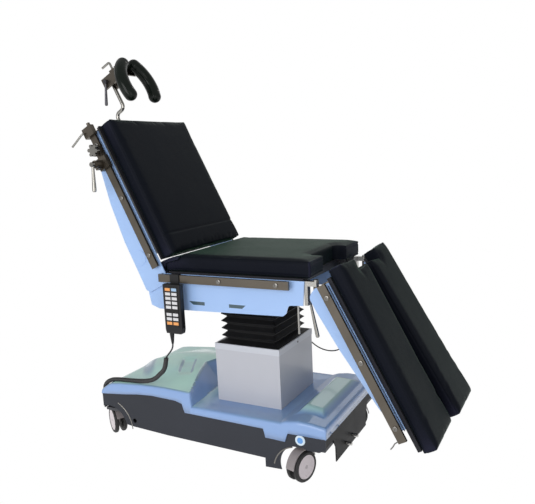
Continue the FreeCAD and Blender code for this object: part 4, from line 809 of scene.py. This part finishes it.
vinyl = Finish("pad_fabric", Specular_IOR_Level=0.07, Sheen_Weight=0.15, Sheen_Roughness=0.28,
               Sheen_Tint=(0.30, 0.72, 0.44, 1.0))
cloth_spot = vinyl.node("ShaderNodeAttribute", {"attribute_name": "run"}, out="Vector")
on_face = vinyl.node("ShaderNodeAttribute", {"attribute_name": "face"}, out="Fac")
soft = vinyl.noise(cloth_spot, 7.0, 4.0)
pucker = vinyl.noise(vinyl.vector("MULTIPLY", cloth_spot, (60.0, 18.0, 9.0)), 1.0)
threads = vinyl.node("ShaderNodeTexVoronoi", {}, {"Vector": cloth_spot, "Scale": 620.0}, "Distance")
# Painted light: the sides of the same navy fabric are painted a lighter navy, as if lit, and the faces keep its
# own dark navy.
painted_lit_side_tone = vinyl.blend(soft, (0.011, 0.012, 0.025), (0.018, 0.019, 0.037))
face_tone = vinyl.blend(soft, (0.003, 0.004, 0.008), (0.006, 0.008, 0.013))
vinyl.feed(Base_Color=vinyl.blend(on_face, painted_lit_side_tone, face_tone),
           Roughness=threads * 0.18 + soft * 0.14 + 0.36)
vinyl.bump(threads * 0.25 + pucker * 2.4 * (1 - on_face) + soft * 3.0, 0.0011, 0.55)

seat_in = PAD_HALF - PAD_EDGE + 3.0
SEAT_HEM = [(-291, 58), (-286, 36), (-274, 32.5), (-214, 16.5), (-206, 5), (-203, -40)]
SEAT_HALF = [(-287, seat_in), (324, seat_in), (324, 119), (300, 119), (286, 117), (275, 104)]
SEAT_CORNERS = [(s, -y) for s, y in SEAT_HALF] + [(274, 0)] + SEAT_HALF[::-1]
cushion("seat_cushion", "seat", SEAT_CORNERS, 63.0, 0.0, hem=SEAT_HEM, folds=(-284.0, -196.0))

BACK_CORNERS = [(4, -seat_in), (596, -seat_in), (596, seat_in), (4, seat_in)]
cushion("back_cushion", "back", BACK_CORNERS, 60.0, 0.0, creases=((91.0, 3.2),))

for side, sign in SIDES:
    inner, notch, outer = 13.0 * sign, 113.0 * sign, seat_in * sign
    outline = [(4, outer), (688, outer), (688, inner), (47, inner), (47, notch), (4, notch)]
    cushion(f"leg_cushion_{side}", f"leg_{side}", outline, 54.0, (inner + outer) / 2)


# The seat's welded frame.
# Box section steel, powder coated like the chassis. Its hinge blocks, lugs and pins at the foot end
# are machined and left bright, and so are the two upright rods beside the bellows.
ROD_X, ROD_TOP, BARE_X = (0.2615, 0.2705), 0.7035, 0.3035
hinge_steel = Finish("hinge_steel")
speck = hinge_steel.noise(hinge_steel.place(), 900.0, 2.0)
cloud = hinge_steel.noise(hinge_steel.place(), 24.0, 4.0)
forward = hinge_steel.axis("X")
height = hinge_steel.axis("Z")
rods = (forward > ROD_X[0]) * (forward < ROD_X[1]) * (height < ROD_TOP)
bare = (forward > BARE_X) + rods - (forward > BARE_X) * rods
sprayed = hinge_steel.blend(cloud, (0.040, 0.042, 0.050), (0.062, 0.065, 0.075))
turned = hinge_steel.blend(cloud, (0.34, 0.33, 0.31), (0.52, 0.51, 0.49))
hinge_steel.feed(Base_Color=hinge_steel.blend(bare, sprayed, turned), Metallic=bare,
                 Roughness=speck * 0.16 + 0.40 - bare * 0.22)
hinge_steel.bump(speck, 0.0002, 0.25)
hinge_steel.on("seat_frame")


# The pads of the headrest.
# Two curved gel pads in glossy black film, flat behind where they rest on the cross plate's pins, with
# a welded seam round the middle. A small bright stud closes each end.
HEAD_ARC, HEAD_TUBE, HEAD_ACROSS = 122.0, 27.0, 34.0
HEAD_MIDDLE, HEAD_BACK = (741.0, -18.0), 7.6
HEAD_ENDS = (-22.0, 55.0)


def head_spots(turn, sign, out, deep):
    """(s, y, t) at an arc angle: out mm beyond the arc's circle in its plane and deep mm down from it."""
    s = HEAD_MIDDLE[0] + (HEAD_ARC + out) * np.sin(turn)
    y = sign * ((HEAD_ARC + out) * np.cos(turn) - HEAD_ACROSS)
    return np.stack(np.broadcast_arrays(s, y, HEAD_MIDDLE[1] + deep), -1)


def head_grid(sign):
    """Rings of radius 27 over the arc and 27 cos(b) over the end balls, moved on along it by 27 sin(b)."""
    ball = np.radians(np.linspace(87.0, 6.0, 12))
    low, high = np.radians(HEAD_ENDS)
    turn = np.concatenate((np.full(12, low), np.linspace(low, high, 40), np.full(12, high)))
    size = HEAD_TUBE * np.concatenate((np.cos(ball), np.ones(40), np.cos(ball[::-1])))
    step = HEAD_TUBE * np.concatenate((-np.sin(ball), np.zeros(40), np.sin(ball[::-1])))
    around = round_turn(96)
    from_seam = HEAD_TUBE * np.abs(np.sin(around))
    size = size[:, None] * (1.0 - 0.036 * np.exp(-(from_seam / 1.7) ** 2))
    grid = head_spots(turn[:, None], sign, size * np.cos(around), size * np.sin(around))
    tangent = np.stack((np.cos(turn), -sign * np.sin(turn), np.zeros_like(turn)), -1)
    grid = grid + (tangent * step[:, None])[:, None]
    grid[..., 2] = np.minimum(grid[..., 2], HEAD_BACK)
    return grid


film = Finish("gel_film", Coat_Weight=0.12, Coat_Roughness=0.04, Specular_IOR_Level=0.12)
cloudy = film.noise(film.place(), 35.0, 4.0)
fine = film.noise(film.place(), 700.0, 2.0)
film.feed(Base_Color=film.blend(cloudy, (0.003, 0.006, 0.004), (0.008, 0.012, 0.009)),
          Roughness=cloudy * 0.15 + 0.16)
film.bump(cloudy * 2.0 + fine * 0.15, 0.0008, 0.4)


def cap_grid(spot, axis, radius, height, cross=0.0):
    """A domed head: height * (1 - (r / radius)^2 / 3) above its rim on an axis, less a crossed slot."""
    axis = np.array(axis)
    side = np.cross(axis, (0.31, 0.0, 0.95))
    side /= np.linalg.norm(side)
    other = np.cross(axis, side)
    share = np.concatenate(([1.0, 1.0], np.linspace(0.97, 0.02, 18)))
    turn = round_turn(48)
    u, v = (radius * share[:, None] * f(turn) for f in (np.cos, np.sin))
    rise = height * (1.0 - share ** 2 / 3.0)
    rise[0] = 0.0
    rise = np.broadcast_to(rise[:, None], u.shape)
    near, far = np.minimum(np.abs(u), np.abs(v)), np.maximum(np.abs(u), np.abs(v))
    slot = soft_step(-near, -0.17 * radius, -0.08 * radius) * soft_step(-far, -0.66 * radius, -0.56 * radius)
    rise = rise - cross * slot * (share[:, None] < 0.98)
    flat = u[..., None] * side + v[..., None] * other + rise[..., None] * axis
    return np.array(spot) + flat * MM


back_up = (math.sin(TURNS["back"]), 0.0, math.cos(TURNS["back"]))
for side, sign in SIDES:
    head_pad = surface(f"head_pad_cover_{side}", laid(head_grid(sign), "back"), film, sharp=70.0)
    belongs(head_pad, f"head_pad_{side}", f"head_pad_{side}")
    places = head_spots(np.radians((-15.0, 48.0)), sign, 0.0, -HEAD_TUBE + 0.6)
    studs = [cap_grid(spot, back_up, 2.3, 1.4) for spot in laid(places, "back")]
    studs = surface(f"head_pad_studs_{side}", studs, chrome)
    belongs(studs, f"head_pad_{side}")


# The screws of the side rails.
# Stainless pan heads with a crossed slot, on the flat bolt heads that hold each rail off its plate.
screw_steel = clouded("screw_steel", (300.0, 4.0), ((0.16, 0.15, 0.14), (0.30, 0.29, 0.27)), (0.2, 0.2),
                      Metallic=1.0)
SCREWS = {"seat": ("table", (-1, 1), (-20.0, 211.0)), "back": ("back", (-1, 1), (45.0, 290.0, 520.0)),
          "leg_near": ("leg_near", (-1,), (86.0, 324.0, 560.0)),
          "leg_far": ("leg_far", (1,), (86.0, 324.0, 560.0))}
for section, (body, signs, runs) in SCREWS.items():
    heads = [cap_grid(laid((run, sign * 291.0, 84.0), section), (0.0, sign, 0.0), 8.2, 3.7, 1.3)
             for sign in signs for run in runs]
    screws = surface(f"rail_screws_{section}", heads, screw_steel)
    belongs(screws, body)


# The lips of the wheel arches.
# Bright half-round strip pressed on the skirts round the opening over each caster.
LIPS = [(-626.0, 60.0, 119.0, (2.0, 66.0)), (258.0, 28.0, 101.0, (103.0, 168.0))]
lips = []
for x, z, radius, ends in LIPS:
    turn = np.radians(np.linspace(*ends, 28))
    for y in (-263.4, 263.4):
        line = np.stack((x + radius * np.cos(turn), np.full(28, y), z + radius * np.sin(turn)), -1) * MM
        lips.append(hose(line, np.where(np.arange(12) % 6 == 0, 2.6, 1.9) * MM, 12))
arch_lips = surface("arch_lips", lips, screw_steel, sharp=60.0)
belongs(arch_lips, "base")


# The hand control.
# A black ABS shell with a fine grain, hooked over the seat's rail.
shell_plastic = clouded("handset_shell", (1100.0, 2.0), ((0.006, 0.006, 0.007), (0.012, 0.012, 0.014)),
                        (0.2, 0.32), (0.0002, 0.3), Specular_IOR_Level=0.35)
shell_plastic.on("pendant", "cord_gland")

# The keys of the hand control.
# A black foil with raised keys in two columns: the first and the last pair orange, the rest white.
KEY_TOP, KEY_LOW, KEY_MIDDLE, FOIL_Y = 0.6855, 0.5725, -0.2130, -0.32105
keys = Finish("handset_keys", Specular_IOR_Level=0.35)
across = keys.axis("X")
outward = keys.axis("Y")
upward = keys.axis("Z")
worn = keys.noise(keys.place(), 240.0, 3.0)
orange = keys.blend(worn, (0.80, 0.33, 0.10), (0.90, 0.42, 0.15))
pale = keys.blend(worn, (0.62, 0.62, 0.64), (0.74, 0.74, 0.76))
sky_key = (0.36, 0.52, 0.72)
first = (upward > KEY_TOP) * (across < KEY_MIDDLE)
second = (upward > KEY_TOP) * (across > KEY_MIDDLE)
last = upward < KEY_LOW
key_tone = keys.blend(first + last - first * last, keys.blend(second, pale, sky_key), orange)
keys.feed(Base_Color=keys.blend(outward < FOIL_Y, (0.006, 0.006, 0.007), key_tone),
          Roughness=worn * 0.15 + 0.3)
keys.on("pendant_keys")


# The casters.
# Twin wheels with a dark rubber tyre round a pale plastic disc, in a smoky moulded hood on a steel stem.
CASTERS = {"head_near": (-632.0, -205.0, -33.0), "head_far": (-632.0, 205.0, 160.0),
           "foot_near": (268.0, -228.0, 74.0), "foot_far": (268.0, 228.0, 205.0)}
TRAIL, WHEEL_Z = 22.0, 57.0
DISC_RADIUS, DISC_FROM, AXLE_RADIUS = 0.0436, 0.0235, 0.0075

smoke = clouded("caster_hood", (20.0, 3.0), ((0.23, 0.205, 0.21), (0.34, 0.305, 0.31)), (0.15, 0.24),
                Specular_IOR_Level=0.5, Coat_Weight=0.3, Coat_Roughness=0.1)
smoke.on(*(f"caster_fork_{name}" for name in CASTERS))

for name, (x, y, turn) in CASTERS.items():
    heading = math.radians(turn)
    middle = np.array((x - TRAIL * math.cos(heading), y - TRAIL * math.sin(heading), WHEEL_Z)) * MM
    tyre = Finish(f"caster_wheel_{name}", Specular_IOR_Level=0.35)
    from_axle = tyre.vector("SUBTRACT", tyre.place(), middle.tolist())
    axle = (-math.sin(heading), math.cos(heading), 0.0)
    sideways = tyre.vector("DOT_PRODUCT", from_axle, axle, "Value")
    reach = tyre.vector("LENGTH", from_axle, out="Value")
    radial = (reach ** 2 - sideways ** 2) ** 0.5
    outer = (abs(sideways) > DISC_FROM) * (radial < DISC_RADIUS)
    scuff = tyre.noise(tyre.place(), 90.0, 4.0)
    rubber_tone = tyre.blend(scuff, (0.012, 0.012, 0.013), (0.030, 0.029, 0.030))
    disc_tone = tyre.blend(scuff, (0.74, 0.67, 0.70), (0.82, 0.75, 0.78))
    disc_tone = tyre.blend((radial < AXLE_RADIUS) * 0.5, disc_tone, (0.30, 0.28, 0.29))
    tyre.feed(Base_Color=tyre.blend(outer, rubber_tone, disc_tone),
              Roughness=scuff * 0.2 + 0.45 - outer * 0.15)
    tyre.bump(scuff, 0.0003, 0.3)
    tyre.on(f"caster_wheel_{name}")


# The screw of the column's cover.
# A small black socket screw in the band, on the side that faces the foot end.
BAND_SCREW = np.array((142.3, 12.6, 430.3)) * MM
band_screw = surface("cover_screw", cap_grid(BAND_SCREW, (1.0, 0.0, 0.0), 3.6, 1.6, 0.8), shell_plastic)
belongs(band_screw, "base")


# The stop pins of the leg rails.
# A bent wire pin hangs from the lower end of each leg's rail, so that a clamp can't slide off.
for side, sign in SIDES:
    route = [(604, 285 * sign, 92), (604, 286 * sign, 101), (606, 287 * sign, 112), (613, 289 * sign, 122),
             (618, 291 * sign, 133)]
    line = evenly(laid(route, f"leg_{side}"), 1.5 * MM)
    pin = surface(f"rail_stop_pin_{side}", hose(line, 2.1 * MM, 14), screw_steel)
    belongs(pin, f"leg_{side}")


# The gusset between the seat's and the back's pads.
# A gathered strip of the pads' cloth, sewn to both, that closes the wedge over the hinge. Its ends
# are puckered where the cloth is drawn together.
GUSSET = [(-234, 809), (-214.5, 809), (-216.5, 797), (-275.5, 780.5), (-291, 750), (-272, 748.5),
          (-271, 743.5), (-306, 743.5), (-307, 764), (-299, 783), (-288, 789)]
GUSSET_HALF = 255.5


def gusset_grid():
    """The outline from end to end; its ends close as k goes to 0, y = half + 2.5 (1 - k^2) + folds."""
    ring = evenly(np.array([(x, 0.0, z) for x, z in GUSSET + GUSSET[:1]], float), 2.2)[:-1]
    middle = np.array((-289.0, 0.0, 777.0))
    spoke = np.arctan2(ring[:, 2] - middle[2], ring[:, 0] - middle[0])
    inner = np.linspace(0.06, 1.0, 12)
    rows = []
    for k in inner[:-1]:
        y = GUSSET_HALF + 2.5 * (1.0 - k ** 2) + 1.5 * np.sin(11.0 * spoke) * 4.0 * k * (1.0 - k)
        rows.append(middle + k * (ring - middle) + np.stack((0 * y, -y, 0 * y), -1))
    mirror = [row * (1.0, -1.0, 1.0) for row in rows[::-1]]
    for y in np.linspace(-GUSSET_HALF, GUSSET_HALF, 41):
        row = ring + (0.0, y, 0.0)
        on_top = soft_step(ring[:, 2], 800.0, 808.0)
        row[:, 2] -= on_top * (2.5 + 0.8 * math.sin(y / 9.0))
        rows.append(row)
    return np.array(rows + mirror)


gusset = surface("hinge_gusset", gusset_grid() * MM, vinyl, sharp=60.0)
gusset_spots = spots_of(gusset.data)
# face 0 everywhere gives the gusset the pads' painted lit side tone
marked(gusset.data, np.zeros(len(gusset_spots)), gusset_spots)
belongs(gusset)
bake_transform(gusset)


# The seals of the back.
# A black rubber strip on each side fills the slot between the back's board and its plate.
SEAL_START = 44.0
for side, sign in SIDES:
    line = evenly(laid([(SEAL_START, 261.5 * sign, 64.5), (584, 261.5 * sign, 64.5)], "back"), 12 * MM)
    seal = surface(f"back_seal_{side}", hose(line, 4.6 * MM, 12), rubber)
    belongs(seal, "back")


# The toothed strips of the legs.
# A black moulded strip with small teeth between each leg's rail and the edge of its plate.
for side, sign in SIDES:
    s = np.arange(52.0, 586.0, 1.5)
    teeth, root, outer, inner = 67.6 + np.where((s // 3.0) % 2 == 0, 0.0, 1.6), 70.8, 265.3 * sign, 263.6 * sign
    sides = [(outer, teeth), (outer, root), (inner, root), (inner, teeth)]
    strip_grid = np.stack([np.stack(np.broadcast_arrays(s, y, t), -1) for y, t in sides], 1)
    strip = surface(f"leg_strip_{side}", laid(strip_grid, f"leg_{side}"), rubber, sharp=20.0)
    belongs(strip, f"leg_{side}")


# The sockets behind the jacking holes.
# A blind black cup behind each skirt's round hole takes the transport jack's bar.
JACK_X, JACK_Z = -493.0, 103.0
CUP_Y = np.array((258.6, 240.0, 240.0, 238.0, 238.0, 258.6, 258.6))[:, None]
CUP_RADIUS = np.array((10.6, 10.6, 0.4, 0.4, 12.6, 12.6, 10.6))[:, None]
turn = round_turn(32)
cup = [JACK_X + CUP_RADIUS * np.cos(turn), CUP_Y + 0 * turn, JACK_Z + CUP_RADIUS * np.sin(turn)]
cups = [np.stack((cup[0], sign * cup[1], cup[2]), -1) * MM for _, sign in SIDES]
jack_sockets = surface("jack_sockets", cups, shell_plastic, capped=False, sharp=1.0)
belongs(jack_sockets, "base")
